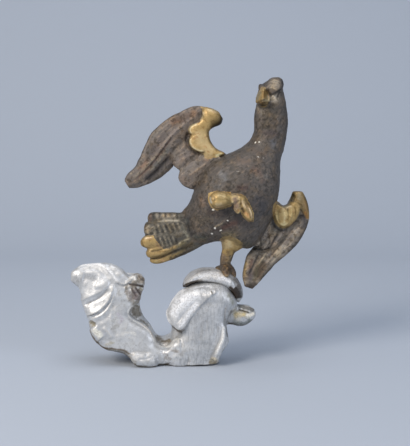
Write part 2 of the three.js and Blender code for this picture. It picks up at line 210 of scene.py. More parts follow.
def fused(name, forms, voxel):
    """One closed skin round all the forms, as if cut from one block."""
    points, faces, offset = [], [], 0
    for form in forms:
        points.append(form.points)
        faces += [tuple(i + offset for i in face) for face in form.faces]
        offset += len(form.points)
    mesh = bpy.data.meshes.new(name + "_forms")
    mesh.from_pydata(((np.vstack(points) + TO_FLOOR) * MM).tolist(), [], faces)
    block = bpy.data.objects.new(name + "_forms", mesh)
    bpy.context.collection.objects.link(block)
    skin = block.modifiers.new("fuse", "REMESH")
    skin.mode = "VOXEL"
    skin.voxel_size = voxel * MM
    depsgraph = bpy.context.evaluated_depsgraph_get()
    made = bpy.data.meshes.new_from_object(block.evaluated_get(depsgraph))
    bpy.data.objects.remove(block)
    made.name = name
    made.materials.clear()
    made.polygons.foreach_set("use_smooth", [True] * len(made.polygons))
    piece = bpy.data.objects.new(name, made)
    bpy.context.collection.objects.link(piece)
    return piece


def sight(points):
    """Where the eye's line through each point meets the plane y = 0: the (x, z) of the front view."""
    share = -EYE[1] / (points[:, 1] - EYE[1])
    return EYE[[0, 2]] + (points[:, [0, 2]] - EYE[[0, 2]]) * share[:, None]


class Relief:
    """The fused skin as arrays, with the label of the nearest form at each point."""

    def __init__(self, piece, forms):
        self.mesh = piece.data
        self.points, self.normals = mesh_arrays(self.mesh)
        edges = np.empty(len(self.mesh.edges) * 2, np.int32)
        self.mesh.edges.foreach_get("vertices", edges)
        self.edges = edges.reshape(-1, 2)
        self.links = np.bincount(self.edges.ravel(), minlength=len(self.points))[:, None]
        cloud = np.vstack([form.points for form in forms])
        tree = kdtree.KDTree(len(cloud))
        for i, point in enumerate(cloud):
            tree.insert(point, i)
        tree.balance()
        nearest = np.array([tree.find(point)[1] for point in self.points])
        names = np.concatenate([[form.label] * len(form.points) for form in forms])
        self.label = names[nearest]

    def mean(self, values):
        """The average of each point's neighbours."""
        total = np.zeros((len(self.points), values.shape[1]))
        a, b = self.edges.T
        for k in range(values.shape[1]):
            total[:, k] = np.bincount(a, values[b, k], len(total)) + np.bincount(b, values[a, k], len(total))
        return total / self.links

    def smooth(self, times, share=0.5):
        """Rubs the skin down towards its neighbours' average."""
        for _ in range(times):
            self.points += share * (self.mean(self.points) - self.points)

    def blurred(self, values, times):
        """Values spread softly into their neighbours."""
        values = np.asarray(values, float).reshape(-1, 1)
        for _ in range(times):
            values = 0.4 * values + 0.6 * self.mean(values)
        return values[:, 0]

    def refresh(self):
        """Writes the points to the mesh, and reads what faces the eye: front fades out early towards
        the outline, for knife work, and shown fades late, for colour."""
        self.mesh.vertices.foreach_set("co", ((self.points + TO_FLOOR) * MM).astype(np.float32).ravel())
        self.mesh.update()
        self.points, self.normals = mesh_arrays(self.mesh)
        self.seen = sight(self.points)
        towards = EYE - self.points
        towards /= np.linalg.norm(towards, axis=1, keepdims=True)
        facing = (self.normals * towards).sum(1)
        self.front = np.clip(facing * 3 + 0.5, 0, 1)
        self.shown = np.clip(facing * 5 + 1.3, 0, 1)

    def on(self, *names):
        """1 on the forms whose labels start with these names."""
        return np.any([np.char.startswith(self.label, name) for name in names], axis=0).astype(float)

    def push(self, height):
        """Raises or cuts the skin by a height in millimetres at each point."""
        self.points += self.normals * height[:, None]

    def settle(self, node_name):
        """Keeps the skin inside its solid's box."""
        low, high = (np.array(corner) / MM - TO_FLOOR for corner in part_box(node_name))
        self.points = np.clip(self.points, low, high)
        self.refresh()


def from_line(seen, points, reach):
    """Signed distance to a smooth line on the front view, positive on its left, and the share along
    it. Only points within reach are worked out, and the others lie out at reach."""
    path = spline(points, np.linspace(0, 1, 10 * len(points)))
    away = np.full(len(seen), float(reach))
    share = np.zeros(len(seen))
    low, high = path.min(0) - reach, path.max(0) + reach
    near = np.nonzero(((seen > low) & (seen < high)).all(1))[0]
    start, step = path[:-1], np.diff(path, axis=0)
    size = (step ** 2).sum(1)
    gone = seen[near, None] - start[None]
    part = np.clip((gone * step).sum(2) / size, 0, 1)
    off = gone - part[..., None] * step
    distance = np.sqrt((off ** 2).sum(2))
    best = distance.argmin(1)
    row = np.arange(len(near))
    side = np.sign(step[best, 0] * gone[row, best, 1] - step[best, 1] * gone[row, best, 0])
    away[near] = np.where(side == 0, 1, side) * np.minimum(distance[row, best], reach)
    share[near] = (best + part[row, best]) / len(step)
    return away, share


def stroke(seen, points, width, taper=0.12):
    """1 along a line on the front view, falling off over its width and towards its ends."""
    away, share = from_line(seen, points, 3 * width)
    return np.exp(-(away / width) ** 2) * np.clip(share / taper, 0, 1) * np.clip((1 - share) / taper, 0, 1)


def lap(seen, points, fade, drop, taper=0.1):
    """1 on the left of a line, where it laps over its right side in a step as wide as the drop, and
    falling back over the fade."""
    away, share = from_line(seen, points, 3 * fade)
    rise = 1 / (1 + np.exp(-3 * away / drop))
    ends = np.clip(share / taper, 0, 1) * np.clip((1 - share) / taper, 0, 1)
    return rise * np.exp(-np.maximum(away, 0) / fade) * ends


def worked(seen, gouges, laps=()):
    """The height of all the gouges, (height, width, line), and laps, (height, fade, drop, line)."""
    height = sum(tall * stroke(seen, line, width) for tall, width, line in gouges)
    return height + sum(tall * lap(seen, line, fade, drop) for tall, fade, drop, line in laps)


def drilled(seen, middle, lip, radius, width, hole):
    """The height of a shallow drilled hole of the given width inside a raised lip."""
    away = np.hypot(*(seen - middle).T)
    return lip * np.exp(-((away - radius) / width) ** 2) - 0.9 * np.exp(-(away / hole) ** 2)


def knife_noise(points, size, seed):
    """Smooth random values from -1 to 1 that change over the given size in millimetres."""
    lattice = np.random.default_rng(seed).uniform(-1, 1, (32, 32, 32))
    place = points / size + 100
    cell = np.floor(place).astype(int)
    w = place - cell
    w = w * w * (3 - 2 * w)
    total = np.zeros(len(points))
    for corner in np.ndindex(2, 2, 2):
        part = np.prod(np.where(corner, w, 1 - w), axis=1)
        total += part * lattice[tuple(((cell + corner) % 32).T)]
    return total


CORE = [
    ((-122, 139), (-111, 139), 8, 8, 10), ((-142, 137), (-100, 133), 8, 10, 14),
    ((-161, 131), (-85, 121), 8, 12, 16), ((-166, 124), (-70, 124), 9, 14, 18),
    ((-158, 109), (-66, 112), 10, 15, 20), ((-153, 99), (-69, 103), 10, 17, 21),
    ((-155, 86), (-72, 90), 10, 18, 22), ((-149, 68), (-72, 76), 10, 20, 22),
    ((-142, 56), (-67, 62), 10, 22, 22), ((-135, 36), (-58, 52), 10, 22, 22),
    ((-119, 24), (-50, 39), 10, 22, 22), ((-95, 19), (-45, 34), 10, 24, 22),
    ((-72, 6), (-39, 34), 10, 24, 22), ((-52, 2), (-33, 36), 10, 24, 24),
    ((-29, 4), (-28, 40), 10, 26, 25), ((-8, 4), (-27, 51), 10, 28, 26),
    ((13, 4), (-28, 62), 10, 30, 26), ((39, 4), (-28, 73), 10, 30, 26),
    ((43, 17), (-27, 83), 10, 30, 26), ((53, 32), (-23, 91), 10, 28, 26),
    ((52, 42), (-18, 98), 10, 26, 26), ((51, 58), (-12, 102), 10, 26, 26),
    ((57, 71), (-2, 107), 10, 26, 26), ((64, 84), (8, 110), 10, 25, 25),
    ((59, 98), (18, 113), 10, 22, 22), ((47, 107), (26, 114), 10, 16, 16),
]
LOBE_FACE = [
    ((-130.5, 143.5), (-116.5, 144), -10, 5, 8), ((-151.5, 140), (-98.5, 137.5), -12, 8, 12),
    ((-165.5, 132.5), (-87, 127.5), -14, 10, 14), ((-167, 122), (-83, 119.5), -15, 11, 16),
    ((-156.5, 111), (-81.5, 109.5), -15, 12, 18), ((-152, 99.5), (-81, 98), -15, 14, 18),
    ((-152, 89.5), (-79, 88), -15, 15, 20), ((-148.5, 79.5), (-84, 79.5), -15, 17, 20),
    ((-144.5, 68), (-85.5, 71.5), -15, 18, 20), ((-141, 53.5), (-77.5, 62.5), -15, 19, 22),
    ((-135, 38), (-59, 52), -15, 19, 22), ((-121, 25), (-51.5, 40.5), -15, 20, 22),
    ((-96.5, 19), (-48, 30.5), -15, 20, 22), ((-75.5, 6), (-39, 25), -15, 20, 22),
    ((-53, 1.5), (-29, 26.5), -15, 20, 22), ((-32, 3), (-23.5, 35), -15, 20, 24),
    ((-12, 3), (-15, 42), -15, 22, 24),
]
TORN = [
    ((-90, 124.5), (-74, 129), -12, 7, 14), ((-95.5, 119), (-65.5, 125), -14, 12, 18),
    ((-97, 112), (-64.5, 114), -14, 13.5, 18), ((-97.5, 103.5), (-66.5, 106.5), -14, 14, 18),
    ((-96, 95), (-69.5, 96.5), -14, 14, 18), ((-93, 86.5), (-73, 87.5), -14, 12, 16),
]
PANEL = [
    ((-40.5, 2.5), (40, 3.5), -13, 21, 24), ((-40.5, 17), (43.5, 17), -13, 23.5, 26),
    ((-32, 27.5), (50.5, 26), -13, 24.5, 26), ((-25, 33), (54, 34), -13, 24.5, 26),
    ((-17.5, 41.5), (52, 41.5), -13, 25.5, 26), ((-15.5, 50.5), (51.5, 49), -13, 25.5, 26),
    ((-19, 63.5), (50.5, 63.5), -13, 25.5, 26), ((-22, 77.5), (55.5, 76), -13, 25.5, 26),
    ((-14.5, 92), (61, 89), -13, 25, 26), ((-0.5, 105), (58, 102.5), -13, 23, 24),
    ((21.5, 113.5), (49.5, 111), -11, 18, 20), ((28.5, 117.5), (38.5, 116), -9, 10, 12),
]
LEAF = [
    ((-3.5, 106.5), (33, 106.5), -14, 16, 12), ((-15.5, 103), (33.5, 101), -15, 21.5, 14),
    ((-24.5, 94), (25, 92.5), -16, 23, 16), ((-30, 84), (16, 82.5), -16, 23.5, 16),
    ((-33.5, 74), (8.5, 72.5), -16, 23.5, 16), ((-31, 65.5), (2, 65), -17, 23, 16),
    ((-25, 57.5), (-4.5, 57.5), -19, 21, 14), ((-18, 50.5), (-12, 50.5), -22, 12, 8),
]
CROWN_RIGHT = [
    ((14.5, 119), (35.5, 118.5), -10, 9, 10), ((3.5, 115), (47, 116), -12, 17, 14),
    ((-6.5, 109.5), (54, 109), -13, 22, 16), ((-14, 104.5), (58, 103), -14, 24, 18),
    ((-20.5, 98), (62.5, 96.5), -14, 24.5, 20), ((-26, 90.5), (65, 89.5), -14, 23, 22),
    ((-26, 82), (64.5, 82), -14, 18, 22), ((-17.5, 73.5), (58, 73.5), -13, 10, 20),
]
CURL = [
    ((47, 81), (47, 55), -2, 12, 14), ((58, 83), (58, 55), -4, 13, 14),
    ((70, 84), (70, 53), -6, 13, 14), ((81, 83), (81, 57), -8, 11, 12), ((88, 78), (89, 64), -9, 7, 8),
    ((92, 74), (92, 70), -9, 3, 3),
]
KNOB = [
    ((-86, 17), (-84, 13), -30, 4, 6), ((-82, 21), (-76, 3), -31, 10, 14),
    ((-66, 22), (-61, -1), -31, 13, 16), ((-52, 20), (-48, 1), -30, 11, 15),
    ((-44, 14), (-43, 8), -28, 4, 6),
]
FOOT_FRONT = [
    ((-30, 15), (-29, 3), -26, 4, 6), ((-23, 21), (-22, -1), -27, 9, 13),
    ((-10, 20), (-9, -2), -26, 10, 15), ((-2, 17), (-1, 3), -24, 5, 7),
]
FOOT_BACK = [
    ((-4, 9), (-6, -9), 18, 10, 10), ((4, 12), (3, -12), 18, 16, 14),
    ((20, 12), (20, -12), 18, 17, 15), ((35, 12), (36, -12), 18, 16, 14),
    ((40, 9), (41, -9), 18, 10, 10),
]
FOLD = [(34, -34, 11, 4), (40, -34, 25, 5), (45, -32, 38, 5), (44, -29, 54, 3.5)]
base_forms = [
    carved("core", CORE, 90, 220, power=2.6),
    carved("lobe_face", LOBE_FACE, 90, 160, power=3.8),
    carved("torn", TORN, 60, 60, power=2.4),
    carved("panel", PANEL, 80, 90, power=2.8),
    carved("leaf", LEAF, 80, 80, power=2.6),
    carved("crown_right", CROWN_RIGHT, 60, 110, power=2.8),
    carved("curl", CURL, 50, 40),
    carved("knob", KNOB, 50, 40),
    carved("foot_front", FOOT_FRONT, 40, 30),
    carved("foot_back", FOOT_BACK, 50, 40, power=3.0),
    limb("fold", FOLD, 20, 40),
]
for form in base_forms:
    form.points[:, 2] = np.maximum(form.points[:, 2], FLOOR_CUT)

# Gouge work on the silvered face: (height, width, line on the front view), a cut where it is negative.
BASE_GOUGES = [
    (-2.2, 8.0, [(-153, 122), (-142, 119.5), (-130.5, 116.5)]),
    (1.7, 1.5, [
        (-161.5, 134.5), (-153, 138.5), (-141.5, 139.5), (-127.5, 140), (-120.5, 136), (-112, 128),
        (-105, 119.5), (-99.5, 114.5)
    ]),
    (-0.9, 2.4, [(-157, 130), (-144.5, 133.5), (-132, 133.5), (-123.5, 128), (-115.5, 119.5)]),
    (1.6, 5.0, [(-115, 138.5), (-105, 132.5), (-95.5, 123.5)]),
    (1.3, 4.0, [(-136.5, 108), (-125, 111.5), (-115, 118.5)]),
    (-1.8, 1.4, [(-105, 113.5), (-98, 110), (-92, 109.5), (-86, 113), (-80.5, 118)]),
    (1.3, 1.2, [(-106.5, 117), (-99, 113), (-92.5, 112), (-87, 115.5), (-81, 121.5)]),
    (-1.8, 2.4, [(-152, 81.5), (-142.5, 85), (-131, 90.5), (-121.5, 97.5), (-114.5, 105)]),
    (-1.2, 1.4, [(-144, 63), (-132.5, 67), (-122.5, 73.5), (-114.5, 84.5), (-109.5, 98)]),
    (-0.5, 2.2, [(-134, 57), (-123, 61.5), (-113, 71.5), (-107.5, 83.5)]),
    (0.8, 1.2, [(-110.5, 77.5), (-113, 67.5), (-112.5, 56), (-110, 44.5)]),
    (-2.2, 3.0, [(-148.5, 57.5), (-141.5, 55), (-134, 53)]),
    (3.2, 5.5, [(-139.5, 49.5), (-134.5, 41.5), (-126, 32.5)]),
    (1.4, 3.0, [(-124.5, 50), (-117.5, 43), (-112, 34)]),
    (0.8, 5.0, [(-106, 34), (-90.5, 34), (-73.5, 31.5)]),
    (-2.0, 4.0, [(-74.5, 81.5), (-79, 74), (-73, 65.5)]),
    (-1.2, 1.8, [(-70.5, 61), (-62, 55), (-54, 48), (-48.5, 40)]),
    (-2.2, 1.2, [(-87.5, 112), (-77, 110.5), (-64.5, 108)]),
    (-1.6, 1.0, [(-84, 107), (-80.5, 100.5), (-76, 93)]),
    (-1.6, 1.0, [(-79, 108), (-74.5, 102), (-70, 95.5)]),
    (-1.4, 1.0, [(-73, 108), (-68.5, 103)]),
    (-1.2, 1.2, [(-86.5, 102), (-84, 95), (-81, 88)]),
    (0.9, 1.0, [(-81.5, 107), (-77, 101.5), (-72, 93.5)]),
    (1.8, 2.4, [(-87, 120), (-81, 122), (-75.5, 121)]),
    (-1.6, 1.2, [(-75.5, 126.5), (-72.5, 119.5), (-65.5, 116.5)]),
    (-0.7, 2.0, [(-21, 53), (-15, 62), (-9.5, 69.5), (-1, 80), (9, 88.5)]),
    (-2.2, 2.6, [(-25, 81.5), (-20, 85), (-14.5, 88)]),
    (-0.9, 2.2, [(-6.5, 103.5), (5, 106.5), (17.5, 108), (29, 108)]),
    (-1.4, 1.6, [(50.5, 85), (48.5, 72), (48.5, 59), (50, 48.5)]),
    (2.4, 2.6, [(46, 57.5), (46.5, 44.5), (46, 32.5), (42.5, 23.5), (38, 14.5), (34, 6.5)]),
    (-1.2, 2.2, [(38, 54.5), (37.5, 40), (34, 25.5)]),
    (-0.6, 1.3, [(22.5, 63), (21.5, 48.5), (20.5, 34)]),
    (-0.5, 1.2, [(14.5, 57.5), (14, 44.5), (13, 31.5)]),
    (-0.4, 1.2, [(29.5, 80.5), (29.5, 60.5), (28, 43)]),
    (1.4, 2.6, [(-83.5, 8.5), (-75, 10), (-63.5, 8.5)]),
    (-1.0, 1.6, [(-75, 3), (-63.5, 3.5), (-53.5, 8)]),
    (1.0, 2.6, [(-62, 9.5), (-53.5, 9.5), (-46.5, 5)]),
    (-1.6, 2.4, [(-41.5, 15), (-38, 6.5), (-39, -4)]),
    (0.9, 2.6, [(-26.5, 6.5), (-18, 7), (-11, 3.5)]),
    (-1.6, 2.0, [(-6.5, 12.5), (-3, 5), (-4, -4)]),
    (-1.2, 1.6, [(17.5, 6.5), (21.5, 2), (22.5, -4)]),
    (-2.6, 1.5, [(65.5, 76), (74, 73.5), (82.5, 70), (91, 72.5)]),
    (1.4, 1.4, [(64, 80), (74, 80), (84, 77.5), (91, 73.5)]),
    (1.2, 3.0, [(63, 69), (71.5, 67.5), (81, 66)]),
]
# Edges that lap over what lies on the right of their line: (height, fade, drop, line).
BASE_LAPS = [
    (2.4, 12, 1.6, [
        (-157, 86), (-145, 91.5), (-133.5, 96.5), (-125, 101.5), (-117.5, 108), (-113, 116)
    ]),
    (3.6, 9, 0.9, [
        (-147.5, 66), (-132.5, 71), (-122.5, 78.5), (-114.5, 89), (-109.5, 102), (-107, 111.5)
    ]),
    (2.4, 5, 1.2, [
        (-140, 60.5), (-126.5, 66), (-117.5, 75), (-111.5, 85), (-107, 96.5), (-104, 108.5)
    ]),
    (2.2, 4, 0.9, [
        (-9, 38.5), (-15, 33.5), (-22.5, 32.5), (-26, 29), (-29.5, 23.5), (-38, 21.5), (-46, 24.5),
        (-50.5, 31.5), (-55.5, 40.5), (-60.5, 48.5), (-66, 52.5), (-74, 57.5), (-81.5, 62), (-86, 66.5),
        (-87.5, 72), (-85, 77), (-80, 80.5), (-72.5, 86.5)
    ]),
    (1.4, 6, 0.8, [(-32.5, 79), (-35, 69), (-30.5, 57.5), (-22, 49.5), (-12.5, 42)]),
    (2.5, 8, 1.0, [
        (-15, 44), (-6.5, 54), (-1, 62), (5, 69.5), (13, 80), (22.5, 89), (31.5, 96.5), (40, 99.5)
    ]),
]
KNOT = (32, 100)  # where the leaf's crest ends
CRUMPLED_FROM = (-57.5, 63)  # the silver is crumpled to the left of this and below it

base = fused("base", base_forms, voxel=1.14)
carving = Relief(base, base_forms)
carving.smooth(2)
carving.refresh()
height = worked(carving.seen, BASE_GOUGES, BASE_LAPS)
height += drilled(carving.seen, KNOT, lip=1.1, radius=2.6, width=1.2, hole=1.2)
torn = carving.on("torn")
height += torn * (1.2 * knife_noise(carving.points, 4.5, 2) + 0.8 * knife_noise(carving.points, 2.6, 3))
carving.push(height * carving.front)
carving.smooth(1)
carving.refresh()
past = carving.seen - CRUMPLED_FROM
crumpled = 1 / (1 + np.exp(past[:, 1] / 3)) / (1 + np.exp(past[:, 0] / 4))
waves = 0.8 * knife_noise(carving.points, 13, 3) + 0.4 * knife_noise(carving.points, 5.5, 4)
carving.push((0.5 + 0.5 * crumpled) * waves)
carving.settle("base")


def keep(relief, name, values):
    """Stores a value or a colour at each point for the material to read."""
    values = np.asarray(values, np.float32)
    kind = "FLOAT" if values.ndim == 1 else "FLOAT_COLOR"
    layer = relief.mesh.attributes.new(name, kind, "POINT")
    layer.data.foreach_set("value" if values.ndim == 1 else "color", values.ravel())


def hollows(relief, times, scale):
    """From -1 in hollows to 1 on edges, read from how far a smoothed skin lies below each point."""
    soft = relief.points.copy()
    for _ in range(times):
        soft += 0.6 * (relief.mean(soft) - soft)
    return np.clip(((relief.points - soft) * relief.normals).sum(1) / scale, -1, 1)


def washed(relief, layers):
    """Washes of colour, (hex, strength at each point), one over the other: the mixed colour, with how
    much of what lies under them they cover as its alpha."""
    colour = np.zeros((len(relief.points), 3))
    cover = np.zeros((len(relief.points), 1))
    for code, strength in layers:
        share = np.clip(strength, 0, 1).reshape(-1, 1)
        colour = colour * (1 - share) + np.array(linear(code)[:3]) * share
        cover = cover * (1 - share) + share
    return np.hstack([colour / np.maximum(cover, 1e-4), cover])


def stains_and_painted_light(relief, dabs, where=1.0):
    """Dabs, (hex, strength, width, line), as washes on what shows from the front: stains and paint, and
    painted highlights and painted shade.
    """
    return [(code, strength * where * relief.shown * stroke(relief.seen, line, width))
            for code, strength, width, line in dabs]


# Marks on the silver: (colour, strength, width, line on the front view). Stains and bare places: the broken
# inner edge and the torn top of the left lobe, its chipped left side, the warm inside and dull lip of the
# leaf curl, and tan wear on the feet. Painted light as well: white painted highlights along the broken edge,
# rims, ridges, the leaf's lit face and crest, and grey and dark painted shade in the bowl, cuts, hollows and
# under edges.
SILVER_STAINS_AND_PAINTED_LIGHT = [
    # Painted highlight: a white line along the broken inner edge.
    ("#f6f5f0", 0.9, 1.2, [
        (-73, 87), (-81, 81.5), (-86, 77), (-88.5, 72), (-87.5, 66), (-82.5, 61), (-74.5, 56.5),
        (-67, 51.5), (-61.5, 47.5), (-56.5, 40), (-52, 30.5), (-47, 24.5), (-38, 21), (-28.5, 23),
        (-25, 29), (-22, 32), (-15, 33.5), (-9, 38)
    ]),
    # Grey-brown in the recess behind the broken edge: partly bare wood, partly painted shade.
    ("#99948a", 0.9, 6.0, [(-73, 82), (-76.5, 74), (-70.5, 64.5)]),
    ("#7d776b", 0.6, 2.8, [(-79.5, 79), (-82, 73.5), (-78, 67)]),
    ("#928c80", 0.7, 1.8, [(-72, 62), (-65.5, 56.5), (-59, 50)]),
    # Painted highlight on the inner edge.
    ("#f3f2ee", 0.8, 1.4, [(-61, 55), (-57, 51), (-54, 46)]),
    ("#7d7568", 0.8, 4.5, [(-48.5, 40), (-43, 30.5), (-34.5, 28.5), (-28, 34)]),
    ("#a09a96", 0.8, 3.5, [(-90, 103.5), (-85.5, 95), (-83.5, 86.5)]),
    ("#8b7f7d", 0.9, 4.6, [(-78.5, 105), (-76.5, 96.5), (-78.5, 89)]),
    ("#a79f94", 0.7, 4.0, [(-72.5, 123.5), (-68.5, 118), (-67, 112)]),
    # Painted highlight on the top of the torn knob.
    ("#f2f0ea", 0.9, 2.0, [(-87.5, 119.5), (-82.5, 122), (-77, 121.5)]),
    # Painted shade: dark lines in the cuts of the torn top.
    ("#453b34", 1.0, 1.6, [(-88.5, 112), (-77, 110.5), (-64.5, 108)]),
    ("#4a3d3a", 0.9, 1.2, [(-84, 107), (-80.5, 100.5), (-76, 93)]),
    ("#4f423c", 0.9, 1.2, [(-79, 108), (-74.5, 102), (-70, 95.5)]),
    ("#b3a98c", 0.8, 1.4, [(-71.5, 107), (-67.5, 103)]),
    # Painted highlight on a ridge between the cuts.
    ("#b5aca6", 0.7, 1.1, [(-81.5, 107), (-77, 101.5), (-72, 93.5)]),
    # Painted shade in a cut.
    ("#5d5248", 0.9, 1.3, [(-73.5, 125), (-70.5, 120), (-65.5, 116.5)]),
    ("#6a5f55", 0.8, 1.2, [(-68, 122), (-66.5, 118)]),
    ("#aca38c", 0.8, 3.4, [(-143.5, 59.5), (-139, 55), (-137, 50)]),
    ("#776c5a", 0.6, 1.2, [(-144, 60.5), (-138.5, 58), (-134, 55)]),
    # Painted highlight on the bulge low on the left, warm in tone.
    ("#f4f2e6", 0.85, 5.0, [(-138, 48), (-132.5, 41.5), (-126, 34)]),
    ("#b9b39c", 0.4, 3.5, [(-124.5, 27), (-114.5, 26), (-104.5, 27)]),
    ("#a9a9a6", 0.5, 5.0, [(-111.5, 66), (-106, 53), (-111.5, 43)]),
    ("#c3bfc9", 0.5, 3.5, [(-105.5, 72), (-98.5, 63), (-101.5, 53)]),
    # Painted highlight: a soft light band across the lower lobe.
    ("#ecebe6", 0.5, 3.0, [(-100.5, 40), (-86, 41.5), (-72, 38.5)]),
    ("#a8a8a6", 0.5, 3.5, [(-117.5, 18), (-100.5, 16), (-86.5, 14)]),
    ("#a3a4a2", 0.35, 4.0, [(-102.5, 103.5), (-98.5, 89), (-100, 77.5)]),
    # Painted shade in the bowl of the left lobe.
    ("#b3b5b6", 0.6, 6.0, [(-150, 122), (-139, 123.5), (-130.5, 118)]),
    ("#b4b6b8", 0.75, 6.0, [(-165.5, 129.5), (-162, 121), (-154.5, 112)]),
    # Painted highlight along the rolled rim.
    ("#fbfbfa", 0.9, 2.0, [
        (-160, 135), (-151.5, 139), (-140, 141), (-129, 141), (-120, 136.5), (-112, 128.5), (-106, 120),
        (-100.5, 114.5)
    ]),
    # Painted highlight on the bowl's lit right wall.
    ("#f7f8f8", 0.6, 5.5, [(-133.5, 116.5), (-125, 121), (-118, 125)]),
    # Dark brown along the lower left edge: brown colour and painted shade on the underside.
    ("#6c5d49", 0.85, 1.3, [
        (-145, 57.5), (-143, 43), (-136, 31.5), (-123.5, 20.5), (-107.5, 18), (-95, 16), (-86.5, 9.5)
    ]),
    ("#8f8168", 0.5, 3.0, [(-89, 14), (-85, 5), (-76.5, -4)]),
    # Painted shade between the knob and the front foot.
    ("#8c8682", 0.45, 5.0, [(-39.5, 15), (-34, 6.5), (-28, 0.5)]),
    ("#c9c0ab", 0.8, 5.5, [(26.5, 3), (32.5, 1.5), (37.5, 5)]),
    ("#8f7b55", 0.4, 1.6, [(24.5, -1), (31.5, -2.5), (37.5, 0.5)]),
    # Painted highlight along the right-hand ridge.
    ("#f4f4f1", 0.85, 2.4, [(46, 54.5), (46.5, 44.5), (46, 32.5), (42.5, 23.5), (38, 14.5), (34.5, 8)]),
    # Painted shade in the groove beside it.
    ("#6f6a63", 0.7, 1.1, [(50.5, 53), (51, 43), (53, 34)]),
    ("#cfcabb", 0.6, 6.0, [(57, 70.5), (64, 66), (72.5, 62)]),
    ("#d6c496", 0.75, 4.4, [(60.5, 67), (69, 69), (80, 67)]),
    # Painted highlight at the right end of the curl.
    ("#f3efe2", 0.9, 3.2, [(77, 67), (84, 67), (90.5, 70.5)]),
    ("#7b7a76", 0.95, 3.0, [(65, 80), (74, 79), (82.5, 76.5), (92, 73.5)]),
    # Painted shade in the curl's groove.
    ("#3f382f", 0.9, 1.0, [(67, 76), (75.5, 73), (84, 70.5)]),
    ("#8b928f", 0.6, 3.4, [(57, 60.5), (67, 56), (78.5, 56.5), (87, 62.5)]),
    ("#a7a79a", 0.5, 4.5, [(51.5, 100.5), (57, 92), (60, 80.5)]),
    ("#9a8f82", 0.5, 1.4, [(49.5, 80.5), (48.5, 66), (49.5, 53)]),
    # Painted shadow under the leaf's lower edge.
    ("#5f5a55", 0.6, 1.2, [(-28, 52.5), (-19.5, 46), (-11, 40.5)]),
    # Painted shade in the small hollow on the leaf.
    ("#8d8c8a", 0.7, 1.8, [(-23.5, 82), (-19.5, 85), (-14.5, 87.5)]),
    ("#7a7770", 0.7, 1.1, [(30, 103), (30, 99.5), (31.5, 96.5)]),
    # Painted shade in the valley below the rim under the cap.
    ("#a3a4a6", 0.4, 2.6, [(-3.5, 104.5), (9, 107), (24.5, 108)]),
    # Painted highlight along the rim under the cap.
    ("#f1f1ee", 0.7, 1.4, [(-6.5, 107), (0.5, 111), (10.5, 114), (20.5, 116), (31.5, 116)]),
    # Painted highlight: the leaf's face whitened where the light falls on it.
    ("#f8f9fa", 0.6, 9.0, [(-26.5, 63), (-20.5, 76), (-9.5, 88), (3.5, 95)]),
    ("#f1f3f5", 0.55, 13.0, [(-22, 72), (-12, 85), (2, 93.5), (16, 99.5)]),
    # Painted highlights along the leaf's crest and its left edge.
    ("#ffffff", 0.95, 2.8, [(-18.5, 47.5), (-11, 56.5), (-4, 67), (4, 77.5), (13, 88)]),
    ("#ffffff", 0.8, 2.6, [
        (-26.5, 51.5), (-33.5, 62), (-35.5, 72), (-31.5, 82.5), (-25, 92), (-15.5, 101.5), (-3.5, 107)
    ]),
    ("#a2a4a6", 0.3, 6.0, [(17.5, 82), (17.5, 60.5), (12, 24)]),
    ("#a59f98", 0.5, 4.0, [(-29.5, 16.5), (-18, 14), (-9.5, 8)]),
    # Painted highlight on the low edge of the U.
    ("#e6e5df", 0.6, 1.6, [(-35, 21), (-28, 24.5), (-23, 30.5), (-15, 33.5)]),
    ("#b9a999", 0.45, 1.0, [(-73, 57.5), (-65, 51.5), (-57, 43.5), (-52, 34)]),
]
# Grey wood on the torn top, and painted shade: a dark brown wash on faces that look down.
painted_underside_shade = np.clip((-carving.normals[:, 2] - 0.45) / 0.35, 0, 1)
torn_edge = np.clip(torn * (0.55 + 0.9 * knife_noise(carving.points, 6, 5)), 0, 0.8)
keep(carving, "edge", hollows(carving, times=10, scale=0.7))
keep(carving, "wide_edge", hollows(carving, times=60, scale=3.0))
torn_wood_and_underside_shade = [("#8d867b", carving.blurred(torn_edge, 2)), ("#6d6152", 0.8 * painted_underside_shade)]
keep(carving, "stain_and_painted_light", washed(carving, torn_wood_and_underside_shade + stains_and_painted_light(carving, SILVER_STAINS_AND_PAINTED_LIGHT)))


def node(tree, kind, settings=(), inputs=(), out=0):
    """Adds a node with its settings and its inputs, values or links, and gives the output asked for."""
    made = tree.nodes.new(kind)
    for name, value in dict(settings).items():
        setattr(made, name, value)
    for key, value in dict(inputs).items():
        if isinstance(value, bpy.types.NodeSocket):
            tree.links.new(value, made.inputs[key])
        else:
            made.inputs[key].default_value = value
    return made.outputs[out] if made.outputs else made


